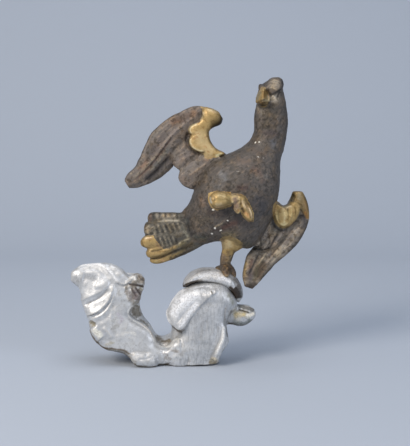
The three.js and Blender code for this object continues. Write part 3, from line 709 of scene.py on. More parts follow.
def worn_silver(name, seed):
    """Silver leaf over gesso and limewood: a soft white metal with small tarnish clouds and brush
    marks, rubbed through to cream gesso on the edges and to darkened wood where the carving is broken.
    Its stain layer also holds painted highlights and painted shade, and wide hollows are darkened as
    painted shade."""
    made = bpy.data.materials.new(name)
    made.use_nodes = True
    tree = made.node_tree
    bsdf = tree.nodes["Principled BSDF"].inputs
    times, plus = {"operation": "MULTIPLY"}, {"operation": "ADD"}
    colours = {"data_type": "RGBA"}
    span, mix, sum_of, noise = "ShaderNodeMapRange", "ShaderNodeMix", "ShaderNodeMath", "ShaderNodeTexNoise"
    body = node(tree, "ShaderNodeTexCoord", out="Object")
    moved = node(tree, "ShaderNodeMapping", {}, {"Vector": body, "Location": (seed, 1, seed)})
    upright = node(tree, "ShaderNodeMapping", {}, {"Vector": moved, "Scale": (1, 1, 0.14)})
    stain_and_painted_light = node(tree, "ShaderNodeAttribute", {"attribute_name": "stain_and_painted_light"}, out="Color")
    cover = node(tree, "ShaderNodeAttribute", {"attribute_name": "stain_and_painted_light"}, out="Alpha")
    edge = node(tree, "ShaderNodeAttribute", {"attribute_name": "edge"}, out="Fac")
    hollow = node(tree, "ShaderNodeAttribute", {"attribute_name": "wide_edge"}, out="Fac")

    # Patterns: tarnish clouds 25 mm wide, gesso mottling 6 mm, leaf flecks 2 mm, and upright brush
    # marks 2.2 mm apart.
    tarnish = node(tree, noise, {}, {"Vector": moved, "Scale": 1 / (25 * MM), "Detail": 4})
    mottle = node(tree, noise, {}, {"Vector": moved, "Scale": 1 / (6 * MM), "Detail": 4, "Distortion": 0.6})
    fleck = node(tree, noise, {}, {"Vector": moved, "Scale": 1 / (2 * MM), "Detail": 3})
    brushed = node(tree, noise, {}, {"Vector": upright, "Scale": 1 / (2.2 * MM), "Detail": 3})

    # The brush marks are faint on the left lobe, and full from 15 mm left of the middle.
    across = node(tree, "ShaderNodeSeparateXYZ", {}, {0: body})
    right = node(tree, span, {}, {0: across, 1: -40 * MM, 2: -15 * MM, 3: 0.12, 4: 1.0})
    brushed = node(tree, sum_of, times, {0: brushed, 1: right})

    silver = linear("#e6e6e5")
    for pattern, first, full, most, code in (
            (tarnish, 0.35, 0.68, 0.8, "#c4c5c6"), (mottle, 0.42, 0.68, 0.5, "#a9aaa9"),
            (brushed, 0.48, 0.68, 0.5, "#96989a"), (fleck, 0.62, 0.7, 0.45, "#8a857c"),
            # Wide hollows darkened: painted shade.
            (hollow, -0.05, -0.7, 0.65, "#817d77")):
        share = node(tree, span, {}, {0: pattern, 1: first, 2: full, 3: 0.0, 4: most})
        silver = node(tree, mix, colours, {0: share, 6: silver, 7: linear(code)}, 2)
    worn = node(tree, span, {}, {0: edge, 1: 0.25, 2: 0.8})
    speck = node(tree, span, {}, {0: fleck, 1: 0.42, 2: 0.6})
    rubbed = node(tree, sum_of, times, {0: worn, 1: speck})
    share = node(tree, sum_of, times, {0: rubbed, 1: 0.55})
    silver = node(tree, mix, colours, {0: share, 6: silver, 7: linear("#d6cfc0")}, 2)
    # Where the stain layer covers: stains and bare wood, with painted highlights and painted shade.
    ragged = node(tree, span, {}, {0: mottle, 1: 0.35, 2: 0.65, 3: -0.2, 4: 0.2})
    bare_and_painted_light = node(tree, sum_of, plus, {0: cover, 1: ragged})
    bare_and_painted_light = node(tree, span, {}, {0: bare_and_painted_light, 1: 0.2, 2: 0.75})
    surface = node(tree, mix, colours, {0: bare_and_painted_light, 6: silver, 7: stain_and_painted_light}, 2)
    grain = node(tree, span, {}, {0: fleck, 1: 0.4, 2: 0.65, 3: 0.0, 4: 0.4})
    grain = node(tree, sum_of, times, {0: grain, 1: bare_and_painted_light})
    surface = node(tree, mix, colours, {0: grain, 6: surface, 7: linear("#4f463b")}, 2)
    tree.links.new(surface, bsdf["Base Color"])
    lost = node(tree, sum_of, {"operation": "MAXIMUM"}, {0: bare_and_painted_light, 1: rubbed})
    metal = node(tree, span, {}, {0: lost, 1: 0.0, 2: 0.8, 3: 0.6, 4: 0.05})
    tree.links.new(metal, bsdf["Metallic"])
    dull = node(tree, span, {}, {0: mottle, 1: 0.3, 2: 0.7, 3: 0.38, 4: 0.6})
    tree.links.new(dull, bsdf["Roughness"])
    relief = node(tree, sum_of, times, {0: fleck, 1: 0.5})
    relief = node(tree, sum_of, plus, {0: relief, 1: mottle})
    relief = node(tree, sum_of, plus, {0: relief, 1: brushed})
    bump = node(tree, "ShaderNodeBump", {}, {"Height": relief, "Strength": 0.6, "Distance": 0.7 * MM})
    tree.links.new(bump, bsdf["Normal"])
    return made


base.data.materials.append(worn_silver("silver_leaf_on_gesso", 0.0))
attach(base, "root")
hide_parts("base")

# Perch cap: a separate bent piece that bridges the right-hand lobe, silvered bright along its lower
# band, with painted highlights there, a duller band above, dark bare wood at its right end, and a dark web
# under its arch that is a painted shadow filling the gap above the base.
CAP = [
    ((-11, 111), (-10, 110), 2, 14, 14), ((-9, 118), (-4, 113), 2, 26, 24),
    ((1, 128), (7, 117), 2, 30, 28), ((13, 133), (19, 118), 2, 31, 29),
    ((27, 134), (32, 116), 2, 31, 29), ((43, 133), (43, 113), 2, 31, 29),
    ((57, 130), (51, 108), 2, 30, 28), ((66, 119), (57, 102), 2, 28, 26),
    ((72, 108), (61, 94), 2, 25, 24), ((74, 97), (64, 89), 2, 20, 20), ((70, 89), (66, 87), 2, 12, 12),
]
# A thin web under the arch that fills the gap to the base, coloured as a painted shadow.
CAP_SHADOW_WEB = [
    ((-11.5, 113.5), (-10, 109), -6, 8, 10), ((-5.5, 118), (-3.5, 111), -8, 8, 12),
    ((3.5, 121), (5, 114), -8, 6, 12), ((13.5, 122.5), (14, 117), -8, 6, 12),
    ((24.5, 122), (24.5, 118), -8, 6, 12), ((37, 120), (37, 115.5), -8, 6, 12),
    ((48.5, 115), (47, 109), -8, 6, 12), ((57, 109), (54, 100.5), -6, 6, 12),
]
CAP_GOUGES = [
    (-0.7, 1.1, [
        (-5, 117), (2.5, 121.5), (10.5, 125), (16, 128.5), (24.5, 131), (34.5, 131.5), (43, 129.5)
    ]),
    (0.9, 2.0, [(41.5, 123), (50, 119.5), (57.5, 113.5)]),
    (-0.8, 1.2, [(48.5, 127.5), (57, 121.5), (63.5, 113.5), (67, 105)]),
    (-0.8, 1.6, [(41.5, 118), (43.5, 122), (43, 127.5)]),
]
CAP_LAP = [
    (64, 109.5), (58.5, 118), (51.5, 124.5), (44, 129), (34.5, 131), (24.5, 130.5), (16, 128),
    (10.5, 124.5), (3.5, 121), (-3.5, 116.5),
]
cap_forms = [carved("cap", CAP, 90, 120, power=2.3), carved("web", CAP_SHADOW_WEB, 40, 60, power=3.0)]
perch_cap = fused("perch_cap", cap_forms, voxel=0.7)
cap_skin = Relief(perch_cap, cap_forms)
cap_skin.smooth(2)
cap_skin.refresh()
height = worked(cap_skin.seen, CAP_GOUGES, [(1.0, 6, 0.9, CAP_LAP)])
cap_skin.push(height * cap_skin.front + 0.3 * knife_noise(cap_skin.points, 7, 7))
cap_skin.push(0.25 * knife_noise(cap_skin.points, 3, 8) * cap_skin.front)
cap_skin.settle("perch_cap")
upper_band = np.clip(from_line(cap_skin.seen, CAP_LAP, 14)[0] * -0.6, 0, 1)
CAP_STAINS_AND_PAINTED_LIGHT = [
    ("#2b2018", 1.0, 6.5, [(60.5, 107), (66, 100.5), (69, 90.5)]),
    ("#3a2c22", 0.9, 2.4, [(54, 109.5), (60, 102), (64, 90.5)]),
    ("#6f665c", 0.6, 3.0, [(60, 121.5), (67, 113), (72, 103.5)]),
    # Painted shadow: the dark crescent under the cap's left end.
    ("#41362b", 1.0, 1.9, [(-13, 107.5), (-7, 111), (0, 114), (9, 116.5), (19, 117.5)]),
    # Painted highlights along the bright lower band.
    ("#f7f3ec", 0.6, 6.0, [(7.5, 121.5), (21.5, 124.5), (37, 124.5), (50, 119.5)]),
    ("#ffffff", 0.9, 2.8, [(37, 122), (48.5, 119), (57, 113.5)]),
    ("#f6f8fb", 0.8, 2.6, [(2, 119.5), (10.5, 123), (20.5, 126), (31.5, 127), (43, 124.5)]),
    ("#d8d8d6", 0.7, 1.4, [(-5, 116.5), (3.5, 121), (13.5, 123.5)]),
    ("#6f6b67", 0.5, 1.6, [(6, 127.5), (17.5, 132), (30, 132.5)]),
    ("#5a4a3b", 0.8, 1.6, [(45.5, 134.5), (51.5, 131), (57, 126.5)]),
]
keep(cap_skin, "edge", hollows(cap_skin, times=12, scale=0.7))
keep(cap_skin, "wide_edge", hollows(cap_skin, times=60, scale=3.0))
# A duller upper band, and painted shade: a grey-brown wash where the surface turns away from the eye.
dull_band_and_turned_shade = [("#bdbbb9", 0.5 * upper_band * cap_skin.front), ("#75706a", 0.8 * (1 - cap_skin.front))]
# Painted shadow: the web under the arch is washed dark brown.
painted_shadow_web = [("#3b2e25", cap_skin.blurred(cap_skin.on("web"), 1))]
keep(cap_skin, "stain_and_painted_light", washed(cap_skin, dull_band_and_turned_shade + stains_and_painted_light(cap_skin, CAP_STAINS_AND_PAINTED_LIGHT) + painted_shadow_web))
perch_cap.data.materials.append(worn_silver("silver_leaf_on_perch", 4.0))
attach(perch_cap, "root")
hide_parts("perch_cap")

# Bird, trunk and neck: carved in the round in limewood and painted a dark, mottled brown-grey, with
# small feather tips cut shallowly all over. The whole bird is one carving, so each group below adds
# its forms, knife work and paint to these lists, and the last bird section joins them.
TRUNK = [
    ((-13, 213), (-9, 158), 5, 9, 9), ((-2, 227), (13, 167), 3, 21, 20),
    ((4, 242), (46, 174), 0, 34, 32), ((12, 264), (83, 164), -2, 43, 40),
    ((24, 282), (110, 201), -2, 47, 42), ((41, 292), (122, 237), 0, 45, 40),
    ((58, 298), (125, 262), 2, 39, 36), ((74, 307), (125, 284), 3, 32, 31),
    ((83, 315), (129, 301), 3, 26, 27), ((88, 328), (133, 319), 2, 23, 25),
    ((88, 340), (135, 340), 0, 22, 24), ((89, 355), (133, 357), -2, 21, 23),
    ((92, 369), (131, 370), -4, 21, 22), ((93, 382), (128, 383), -5, 20, 20),
    ((98, 391), (125, 392), -5, 14, 14), ((105, 396), (119, 396), -5, 7, 7),
]
TRUNK_GOUGES = [
    (-0.7, 0.9, [(129.5, 358.5), (124.5, 351), (120, 343)]),
    (-0.6, 0.9, [(124.5, 359.5), (120, 352.5), (115, 345.5)]),
    (-0.7, 0.9, [(132, 350.5), (128, 343), (123.5, 334.5)]),
    (-0.6, 0.9, [(120.5, 341.5), (116, 334.5), (111, 327.5)]),
    (-0.6, 1.2, [(99, 332), (104.5, 330), (110.5, 331)]),
    (-0.9, 1.2, [(51, 258), (56.5, 254), (54, 247)]),
    (-0.8, 1.2, [(69, 251), (76, 248.5), (80, 252.5)]),
    (0.7, 1.6, [(33, 191.5), (38.5, 195), (45.5, 199)]),
    (-0.8, 2.0, [(44, 190.5), (54, 197.5), (66.5, 202)]),
    (-0.9, 1.6, [(-7.5, 200.5), (-2, 190.5), (-3.5, 180.5)]),
    (0.6, 1.2, [(-14.5, 202.5), (-10.5, 196.5), (-8.5, 188.5)]),
]
# Dabs of paint, with painted highlights and painted shade among them.
TRUNK_DABS = [
    ("#75694f", 0.8, 5.0, [(42.5, 180.5), (54, 183), (66.5, 178)]),
    # Painted highlights on the top of the thigh.
    ("#9c8b66", 0.85, 6.5, [(50, 175), (58, 170), (66.5, 165)]),
    ("#b7a479", 0.7, 3.0, [(50.5, 175.5), (54.5, 169.5)]),
    ("#5f523d", 0.6, 4.0, [(108.5, 359.5), (106, 345.5), (102, 329)]),
    ("#3a3329", 0.7, 1.6, [(111.5, 354), (115, 345.5), (113, 337.5)]),
    ("#38322a", 0.6, 1.6, [(104.5, 344.5), (101, 336), (99, 327.5)]),
    ("#3c352c", 0.6, 1.5, [(119.5, 359.5), (118.5, 350)]),
    ("#8b8272", 0.6, 2.2, [(99.5, 361), (98.5, 348.5)]),
    ("#776d62", 0.6, 3.6, [(95, 358), (96.5, 345.5), (94.5, 332)]),
    ("#4b443a", 0.6, 4.5, [(108.5, 348.5), (107.5, 334.5), (105, 323.5)]),
    ("#5c5344", 0.5, 4.0, [(112.5, 365), (117, 354), (114.5, 343)]),
    # Painted shade down the neck's right side.
    ("#3f3a36", 0.8, 2.2, [(130.5, 370.5), (133, 354), (133.5, 337.5), (132.5, 318), (130, 301.5)]),
    ("#64666c", 0.6, 4.0, [(112, 316.5), (116, 309.5), (113.5, 301.5)]),
    ("#4c4040", 0.5, 5.0, [(99, 323.5), (110.5, 325), (124, 321)]),
    ("#55493f", 0.5, 6.0, [(85.5, 304), (94, 298.5), (108, 296)]),
    ("#6e6f72", 0.55, 5.0, [(38.5, 271), (46.5, 265), (49.5, 257)]),
    ("#68686a", 0.5, 5.0, [(27.5, 257), (35.5, 250), (47, 248.5)]),
    ("#6a6a66", 0.5, 4.0, [(91.5, 265), (99.5, 262.5), (108, 266.5)]),
    ("#6b5d55", 0.5, 5.0, [(63.5, 290.5), (74.5, 284.5), (85.5, 287.5)]),
    ("#6c5547", 0.5, 4.5, [(83, 276.5), (94, 271), (102.5, 254)]),
    ("#45413c", 0.6, 4.0, [(46.5, 287.5), (58, 279), (63.5, 265)]),
    ("#373330", 0.7, 3.0, [(49.5, 259.5), (56.5, 254), (52.5, 245.5)]),
    ("#4a3530", 0.7, 3.4, [(63.5, 251), (73.5, 247.5), (81.5, 250)]),
    ("#6a5b50", 0.6, 4.5, [(7.5, 237), (17.5, 231.5), (19, 220.5)]),
    ("#7b7069", 0.5, 2.6, [(13.5, 234.5), (19, 226)]),
    ("#5b5142", 0.7, 6.0, [(3.5, 206), (16, 202), (28.5, 207.5)]),
    # Painted shadow under the raised shank.
    ("#3a322f", 0.8, 6.5, [(21.5, 217.5), (38.5, 212), (58, 213)]),
    ("#52382f", 0.85, 4.4, [(42.5, 190.5), (54, 196.5), (69.5, 202)]),
    ("#3c3533", 0.7, 6.0, [(58, 212), (73.5, 200.5), (91.5, 200.5)]),
    ("#3b393c", 0.75, 8.0, [(88.5, 237), (100, 223), (103, 206)]),
    ("#574f47", 0.7, 5.0, [(63.5, 186.5), (75, 180.5), (83.5, 183.5)]),
    ("#4b4a3c", 0.6, 4.5, [(69.5, 172), (78, 168), (86.5, 171)]),
    # Painted shade where the tail meets the body.
    ("#2e3032", 0.8, 5.5, [(-6.5, 209), (-2, 193.5), (-5, 178)]),
    ("#4d544c", 0.6, 3.2, [(-9, 206), (-6.5, 195)]),
    ("#3e4238", 0.6, 4.0, [(2, 180.5), (13.5, 178), (24.5, 178)]),
    # Painted highlights along two carved ridges.
    ("#7b7b75", 0.7, 1.0, [(-14.5, 202), (-10.5, 195.5), (-8.5, 188)]),
    ("#857b66", 0.7, 1.2, [(33, 192), (38.5, 195.5), (47, 200)]),
    ("#3d2d28", 0.7, 1.6, [(30, 188), (37, 190), (44, 186.5)]),
]
bird_forms = [carved("trunk", TRUNK, 150, 260)]
# Each group: its labels, its ground colour where that isn't the trunk's, gouges, laps and dabs.
bird_parts = [(("trunk", "hip"), None, TRUNK_GOUGES, [], TRUNK_DABS)]

# Bird, head: a low crown under a smooth hood that comes forward to a point over the brow, and a short,
# ridged, gilded beak that turns to the left and forward.
BEAK = [
    ((98.5, 388.5), (101.5, 388), -22, 6, 8), ((95, 385.5), (103.5, 385), -22, 12, 9),
    ((91.5, 380.5), (106, 380.5), -22, 17, 8), ((89, 374), (108, 374), -22, 19, 8),
    ((88.5, 369), (107, 369), -22, 18, 8), ((89, 366), (98, 366), -24, 11, 5),
]
BEAK_LOWER = [
    ((91, 367.5), (107.5, 370.5), -18, 9, 6), ((93, 364.5), (107, 365.5), -18, 9, 6),
    ((97.5, 362), (104.5, 362.5), -17, 5, 4),
]
COMB = [
    ((105, 395), (107, 390), -5, 4, 4), ((109, 400), (111, 388), -6, 7, 6),
    ((116, 402), (116, 387), -6, 8, 7), ((123, 400), (123, 386), -5, 8, 7),
    ((128, 394), (126, 384), -4, 7, 6), ((128, 390), (127, 385), -4, 3.5, 3.5),
]
HOOD = [
    ((111.5, 401.5), (121.5, 402), -8, 8, 6), ((107.5, 397.5), (126, 398.5), -10, 12, 8),
    ((103.5, 392), (127, 392), -13, 15, 8), ((100.5, 387.5), (126.5, 388), -17, 14.5, 8),
    ((105, 383), (120, 384), -20, 12, 8), ((109, 378.5), (112.5, 378.5), -22, 9, 6),
]
CROWN = [(99, -12, 384, 5), (98, -12, 389, 5.2), (99, -11, 392, 3.5)]
PUPIL = (121, 376.5)
HEAD_GOUGES = [
    (-1.3, 0.9, [(128.5, 387), (120, 381.5), (112.5, 376.5)]),
    (-1.0, 0.9, [(112.5, 376.5), (108, 381), (103, 385.5)]),
    (-1.5, 0.9, [(90, 365.5), (97, 368.5), (103.5, 371), (108.5, 372.5)]),
    (0.8, 0.8, [(108, 382), (109, 375), (108.5, 367.5)]),
    (-0.4, 2.4, [(102.5, 382.5), (102, 377.5), (100.5, 372.5)]),
    (0.5, 1.8, [(98.5, 384), (95.5, 377.5), (92.5, 370.5)]),
    (-1.2, 1.4, [(93, 360), (100.5, 358), (110, 361)]),
    (0.8, 2.2, [(112.5, 376), (117, 372.5), (118, 369)]),
    (-1.1, 0.9, [(119, 374), (121.5, 378), (124.5, 382.5)]),
]
# Dabs of paint, with painted highlights and painted shade among them.
HEAD_DABS = [
    ("#aea292", 0.9, 6.0, [(115.5, 378.5), (117, 372), (115.5, 365)]),
    ("#bdb2a0", 0.8, 3.0, [(112.5, 376.5), (116, 372)]),
    ("#938a7b", 0.85, 6.0, [(117.5, 399), (115.5, 392.5), (112.5, 384)]),
    ("#2e2a2b", 0.85, 2.6, [(95.5, 387), (97.5, 392.5), (104, 395.5)]),
    # Painted shade on the hood's right side.
    ("#3b3c42", 0.85, 2.0, [(125, 400), (128, 393.5), (127.5, 386)]),
    ("#5f5850", 0.6, 2.0, [(122, 385), (125.5, 378.5), (128, 372)]),
    ("#a59b8b", 0.7, 3.0, [(113.5, 376), (116, 372.5), (117, 367.5)]),
    ("#5e5140", 0.7, 3.2, [(111.5, 363), (118.5, 365.5), (124, 366.5)]),
    ("#2a211c", 0.9, 1.1, [(119.5, 373), (121, 377.5), (124, 382)]),
    ("#453c33", 0.8, 0.9, [(127, 386.5), (119.5, 381.5), (112.5, 377.5), (108, 381.5), (103, 385.5)]),
    ("#866531", 0.9, 2.7, [(101, 383.5), (102, 378), (101.5, 372.5)]),
    ("#9b8f70", 0.9, 2.8, [(96.5, 382.5), (94, 376), (91.5, 369.5)]),
    ("#b5a88b", 0.8, 1.7, [(97, 368.5), (101.5, 370), (106, 370)]),
    # Painted highlight on the beak's ridge.
    ("#e8dab2", 0.95, 1.3, [(106.5, 378), (107.5, 373), (106.5, 368)]),
    ("#6f5229", 0.9, 1.8, [(93.5, 366), (99, 367), (104.5, 366)]),
    ("#4a3820", 0.85, 0.9, [(90, 365.5), (97, 369), (103.5, 371)]),
    # Painted shade under the beak.
    ("#4a3c24", 0.95, 2.2, [(92.5, 364.5), (99, 363), (108, 364.5)]),
    ("#8b8071", 0.6, 2.4, [(92, 361.5), (93.5, 358), (94, 354)]),
]
bird_forms += [
    carved("beak_upper", BEAK, 60, 60, power=1.15),
    carved("beak_lower", BEAK_LOWER, 50, 40, power=1.6),
    carved("comb", COMB, 60, 50),
    carved("hood", HOOD, 60, 50, power=2.6),
    limb("crown", CROWN, 30, 24),
]
bird_parts += [
    (("beak",), "#c4ab72", HEAD_GOUGES, [], HEAD_DABS),
    (("comb", "hood", "crown", "trunk"), None, HEAD_GOUGES, [], HEAD_DABS),
]

# Bird, raised wing: a long blade in two overlapping layers, two broad lobes of short feathers below
# it, and a smooth gilded covert: a round wrist, and a flat plate that ends in two scallops.
BLADE_LEFT = [
    ((33, 358), (31, 333), 6, 7, 7), ((19, 361), (23, 323), 8, 8, 7), ((5, 362), (10, 312), 8, 8, 7),
    ((-12, 355), (-1, 301), 7, 8, 7), ((-28, 347), (-12, 290), 5, 8, 7),
    ((-44, 335), (-23, 280), 3, 8, 7), ((-55, 324), (-31, 271), 1, 8, 7),
    ((-63, 308), (-41, 263), -2, 7, 7), ((-70, 292), (-52, 257), -5, 7, 6),
    ((-77, 279), (-64, 252), -8, 6, 6), ((-87, 269), (-75, 249), -11, 5, 5),
    ((-91, 261), (-85, 249), -13, 4, 4),
]
LOBE_LEFT_1 = [
    ((5, 323.5), (26, 301), 4, 8, 8), ((-13, 311), (17.5, 290.5), 3, 8, 8),
    ((-24, 298.5), (6.5, 281), 1, 7.5, 7), ((-25.5, 287.5), (-4.5, 273), -1, 6.5, 6),
    ((-23.5, 279.5), (-13.5, 272.5), -2, 4.5, 4.5),
]
LOBE_LEFT_2 = [
    ((24.5, 304.5), (52, 283.5), -2, 10, 10), ((8, 294), (43, 269.5), -4, 9, 10),
    ((-6.5, 282.5), (28.5, 256), -5, 8, 9), ((-15.5, 271.5), (16, 248.5), -7, 7, 7),
    ((-16, 261), (6.5, 247), -8, 5.5, 6), ((-11, 253.5), (-2, 248.5), -8, 4, 4),
]
WRIST_LEFT = [
    ((39.5, 354.5), (45, 344.5), 0, 9, 8), ((28.5, 359.5), (42.5, 337), -1, 12, 9),
    ((19, 361), (32.5, 332.5), -1, 12, 9), ((15, 355.5), (27, 329), -1, 11, 9),
]
PLATE_LEFT = [
    ((18, 355.5), (31.5, 337.5), -1, 10, 9), ((15, 346.5), (28.5, 332), -1, 10, 9),
    ((1.5, 335.5), (26.5, 328), -1, 10, 9), ((-2, 330), (26, 323.5), -1, 10, 9),
    ((0, 321), (27, 318), -2, 10, 9), ((-2, 313.5), (29, 312.5), -2, 10, 9),
    ((1, 305), (34, 305.5), -3, 10, 10), ((10, 299.5), (39.5, 301.5), -3, 10, 12),
    ((20.5, 292.5), (45, 299.5), -4, 9, 12), ((31.5, 291.5), (48.5, 297), -4, 7, 11),
]
RAISED_GOUGES = [
    (1.3, 1.9, [
        (8, 347), (-3, 341.5), (-14.5, 333), (-24, 324.5), (-33, 314), (-40.5, 303), (-50, 291),
        (-60.5, 280), (-71.5, 269.5), (-82.5, 260.5)
    ]),
    (-1.3, 1.0, [
        (-25.5, 319.5), (-32.5, 309.5), (-40, 299.5), (-48.5, 288), (-57.5, 277.5), (-68, 267.5),
        (-78, 259)
    ]),
    (0.8, 1.4, [
        (-24, 314), (-29.5, 303), (-38, 291.5), (-48, 280), (-59, 268.5), (-71.5, 258)
    ]),
    (-0.7, 1.2, [(-28, 342), (-39, 334.5), (-49, 323.5), (-57.5, 309.5)]),
    (-0.6, 1.2, [(-14.5, 339.5), (-27, 332), (-38, 320), (-47.5, 305.5)]),
    (0.6, 1.4, [(-6, 354), (-20, 347.5), (-33.5, 339)]),
    (-0.9, 1.3, [(-6, 302), (-13, 298), (-20, 293)]),
    (0.7, 1.5, [(9, 298), (-2, 293), (-13, 287.5)]),
    (-0.9, 1.3, [(12, 293.5), (1, 287), (-10.5, 278.5)]),
    (1.2, 1.7, [(23, 283.5), (9, 273.5), (-4, 264)]),
    (0.8, 1.2, [(31.5, 289.5), (24.5, 283.5)]),
    (-0.9, 1.4, [(31.5, 281), (20.5, 272), (9, 262.5)]),
    (-1.0, 1.5, [(38.5, 283.5), (28.5, 274), (21.5, 265), (14.5, 257)]),
    (-1.2, 1.6, [(-3, 327.5), (-5.5, 318), (-2.5, 307), (4.5, 300), (13.5, 296.5)]),
    (-1.5, 1.0, [(-4.5, 322.5), (1, 322.5), (6, 321.5)]),
    (-1.2, 1.0, [(19.5, 303), (20.5, 298.5), (21.5, 294.5)]),
    (0.8, 1.2, [(10.5, 336.5), (3, 334), (-0.5, 329), (1.5, 324.5)]),
    (0.8, 1.2, [(1.5, 319.5), (0, 312.5), (4.5, 305), (12, 301), (19, 300.5)]),
]
RAISED_LAPS = [
    (1.0, 6, 0.5, [
        (-27, 304), (-34, 293.5), (-43, 282.5), (-53.5, 272), (-63, 262.5), (-71, 255.5)
    ]),
    (1.2, 6, 0.5, [(-16, 273.5), (-21.5, 275.5), (-25, 280.5)]),
]
# Dabs of paint, with painted highlights and painted shade among them.
RAISED_DABS = [
    # Painted highlights along the blade's ridge.
    ("#8b8079", 0.7, 2.2, [(2.5, 344.5), (-10, 336.5), (-22.5, 325.5), (-33, 313), (-42, 300)]),
    ("#837a6e", 0.7, 2.6, [(-45, 296), (-56, 283.5), (-68.5, 271.5), (-81.5, 261)]),
    ("#6d5747", 0.65, 5.5, [(12, 355.5), (-3, 349), (-18.5, 343.5), (-29.5, 336)]),
    ("#5c4638", 0.6, 2.4, [(-4.5, 341), (-17, 341.5), (-26.5, 339.5)]),
    ("#5e5a54", 0.5, 3.4, [(-38, 329), (-47.5, 325), (-54.5, 318)]),
    ("#7c6f5c", 0.5, 2.6, [(-43.5, 332), (-50.5, 326.5), (-56, 321)]),
    ("#675c57", 0.5, 5.0, [(-36.5, 321), (-46.5, 307), (-54.5, 291.5)]),
    ("#474341", 0.6, 2.6, [(-52, 309.5), (-56, 301.5), (-57.5, 294.5)]),
    # Painted shade in the long groove.
    ("#5d4338", 0.75, 1.2, [
        (-25.5, 319.5), (-32.5, 309.5), (-40, 299.5), (-48.5, 288), (-57.5, 277.5), (-68, 267.5),
        (-78, 259)
    ]),
    ("#6b6a64", 0.6, 2.6, [(-28, 307), (-36.5, 294.5), (-46.5, 282.5), (-57.5, 271.5)]),
    ("#7a736d", 0.6, 3.0, [(-64.5, 261.5), (-77, 254), (-85.5, 252.5)]),
    ("#6a5346", 0.5, 3.4, [(-57.5, 290.5), (-64.5, 280.5), (-73, 272)]),
    # Painted shade on the dark bevel under the upper layer.
    ("#2b2624", 0.9, 3.4, [(-28.5, 294.5), (-36.5, 284.5), (-46, 275), (-55, 266), (-63.5, 257.5)]),
    ("#433f38", 0.6, 2.4, [(-27, 282.5), (-34, 273.5), (-43.5, 265), (-55, 258)]),
    # Painted shade along the wing's outline, where the form turns away.
    ("#3b3a3e", 0.8, 1.9, [
        (-92, 255.5), (-85.5, 269.5), (-74, 282.5), (-67, 300), (-58.5, 318), (-47.5, 332.5), (-32, 345),
        (-14, 355.5), (3.5, 362)
    ]),
    ("#3a3836", 0.8, 1.6, [(-90, 250), (-78.5, 247), (-66, 248.5), (-53.5, 253.5), (-39.5, 261.5)]),
    # Painted shadow beside and under the covert.
    ("#352b28", 0.85, 3.0, [(-2.5, 327.5), (-5.5, 318.5), (-3.5, 308.5), (3, 300.5)]),
    ("#2f2723", 0.85, 1.8, [(2.5, 300), (9, 296.5), (19, 296)]),
    ("#5b5550", 0.5, 4.6, [(-14.5, 326.5), (-11.5, 316.5), (-14.5, 307)]),
    ("#575048", 0.6, 4.0, [(-24, 301.5), (-20, 294.5), (-14.5, 298.5)]),
    ("#7b706a", 0.6, 4.2, [(2.5, 296), (-9, 291), (-18.5, 283.5)]),
    ("#6c6662", 0.5, 4.0, [(12, 287.5), (1, 279), (-9, 269.5)]),
    ("#8a7a6b", 0.7, 2.4, [(24.5, 284), (10.5, 274), (-2.5, 264.5)]),
    ("#94765f", 0.7, 2.6, [(19, 289.5), (26, 287.5)]),
    ("#6a4f3f", 0.6, 3.0, [(31.5, 280.5), (21.5, 271), (16, 259.5)]),
    ("#5f4a3e", 0.6, 3.4, [(21.5, 259.5), (17.5, 251)]),
    ("#75655c", 0.5, 3.0, [(-0.5, 255.5), (-9, 258), (-11.5, 265)]),
    # Painted shadow under the short feathers.
    ("#1f1a19", 0.9, 2.4, [(13.5, 256), (8, 252), (2, 248.5)]),
    ("#2d2a29", 0.8, 1.5, [(-14.5, 254.5), (-7.5, 250), (1, 247)]),
    ("#b3a188", 0.7, 1.3, [(-83.5, 270), (-81.5, 268)]),
    ("#d9c190", 0.75, 8.0, [(10.5, 330.5), (13.5, 315.5), (23, 304), (34, 297)]),
    # Painted shade on the wrist's turned right side.
    ("#715f38", 0.85, 6.5, [(41.5, 352.5), (39, 343), (28.5, 334.5)]),
    ("#44361d", 0.95, 4.2, [(45, 350), (44, 341), (35.5, 334.5), (27, 330.5)]),
    ("#2e2415", 0.9, 3.0, [(44, 353), (46, 345.5), (41, 337.5), (31.5, 332)]),
    ("#7d673c", 0.6, 2.2, [(25, 332.5), (24, 323.5), (26.5, 315.5), (33, 307)]),
    # Painted highlights on the wrist's top and edge and on the scallop rims.
    ("#ddc89a", 0.6, 2.2, [(23, 357.5), (30, 356), (37, 353)]),
    ("#e2cfa4", 0.85, 1.2, [(19, 354.5), (17, 349), (14.5, 342)]),
    ("#efdfb4", 0.9, 1.3, [(10.5, 337.5), (2.5, 335), (-1, 329), (1.5, 323.5)]),
    ("#efdfb4", 0.9, 1.3, [(1, 319.5), (-0.5, 312.5), (4, 304.5), (12, 300.5), (20.5, 300.5)]),
    ("#b59a66", 0.8, 1.1, [(11.5, 333), (5, 330.5), (4.5, 324.5), (8, 319.5)]),
    ("#b59a66", 0.8, 1.1, [(7, 316.5), (5.5, 310.5), (10, 305), (17.5, 303.5)]),
    # Painted highlight at the plate's foot.
    ("#efe4b4", 0.85, 1.8, [(34, 293.5), (39.5, 294.5), (44.5, 297.5)]),
    ("#cdb383", 0.7, 2.6, [(19, 293.5), (24.5, 292.5), (31.5, 293)]),
    # Painted shade under the plate's lower edge.
    ("#4c3719", 0.9, 1.2, [(8, 298.5), (14.5, 297.5), (21, 299)]),
    ("#dacf9f", 0.7, 1.1, [(33, 307), (35.5, 303.5)]),
]
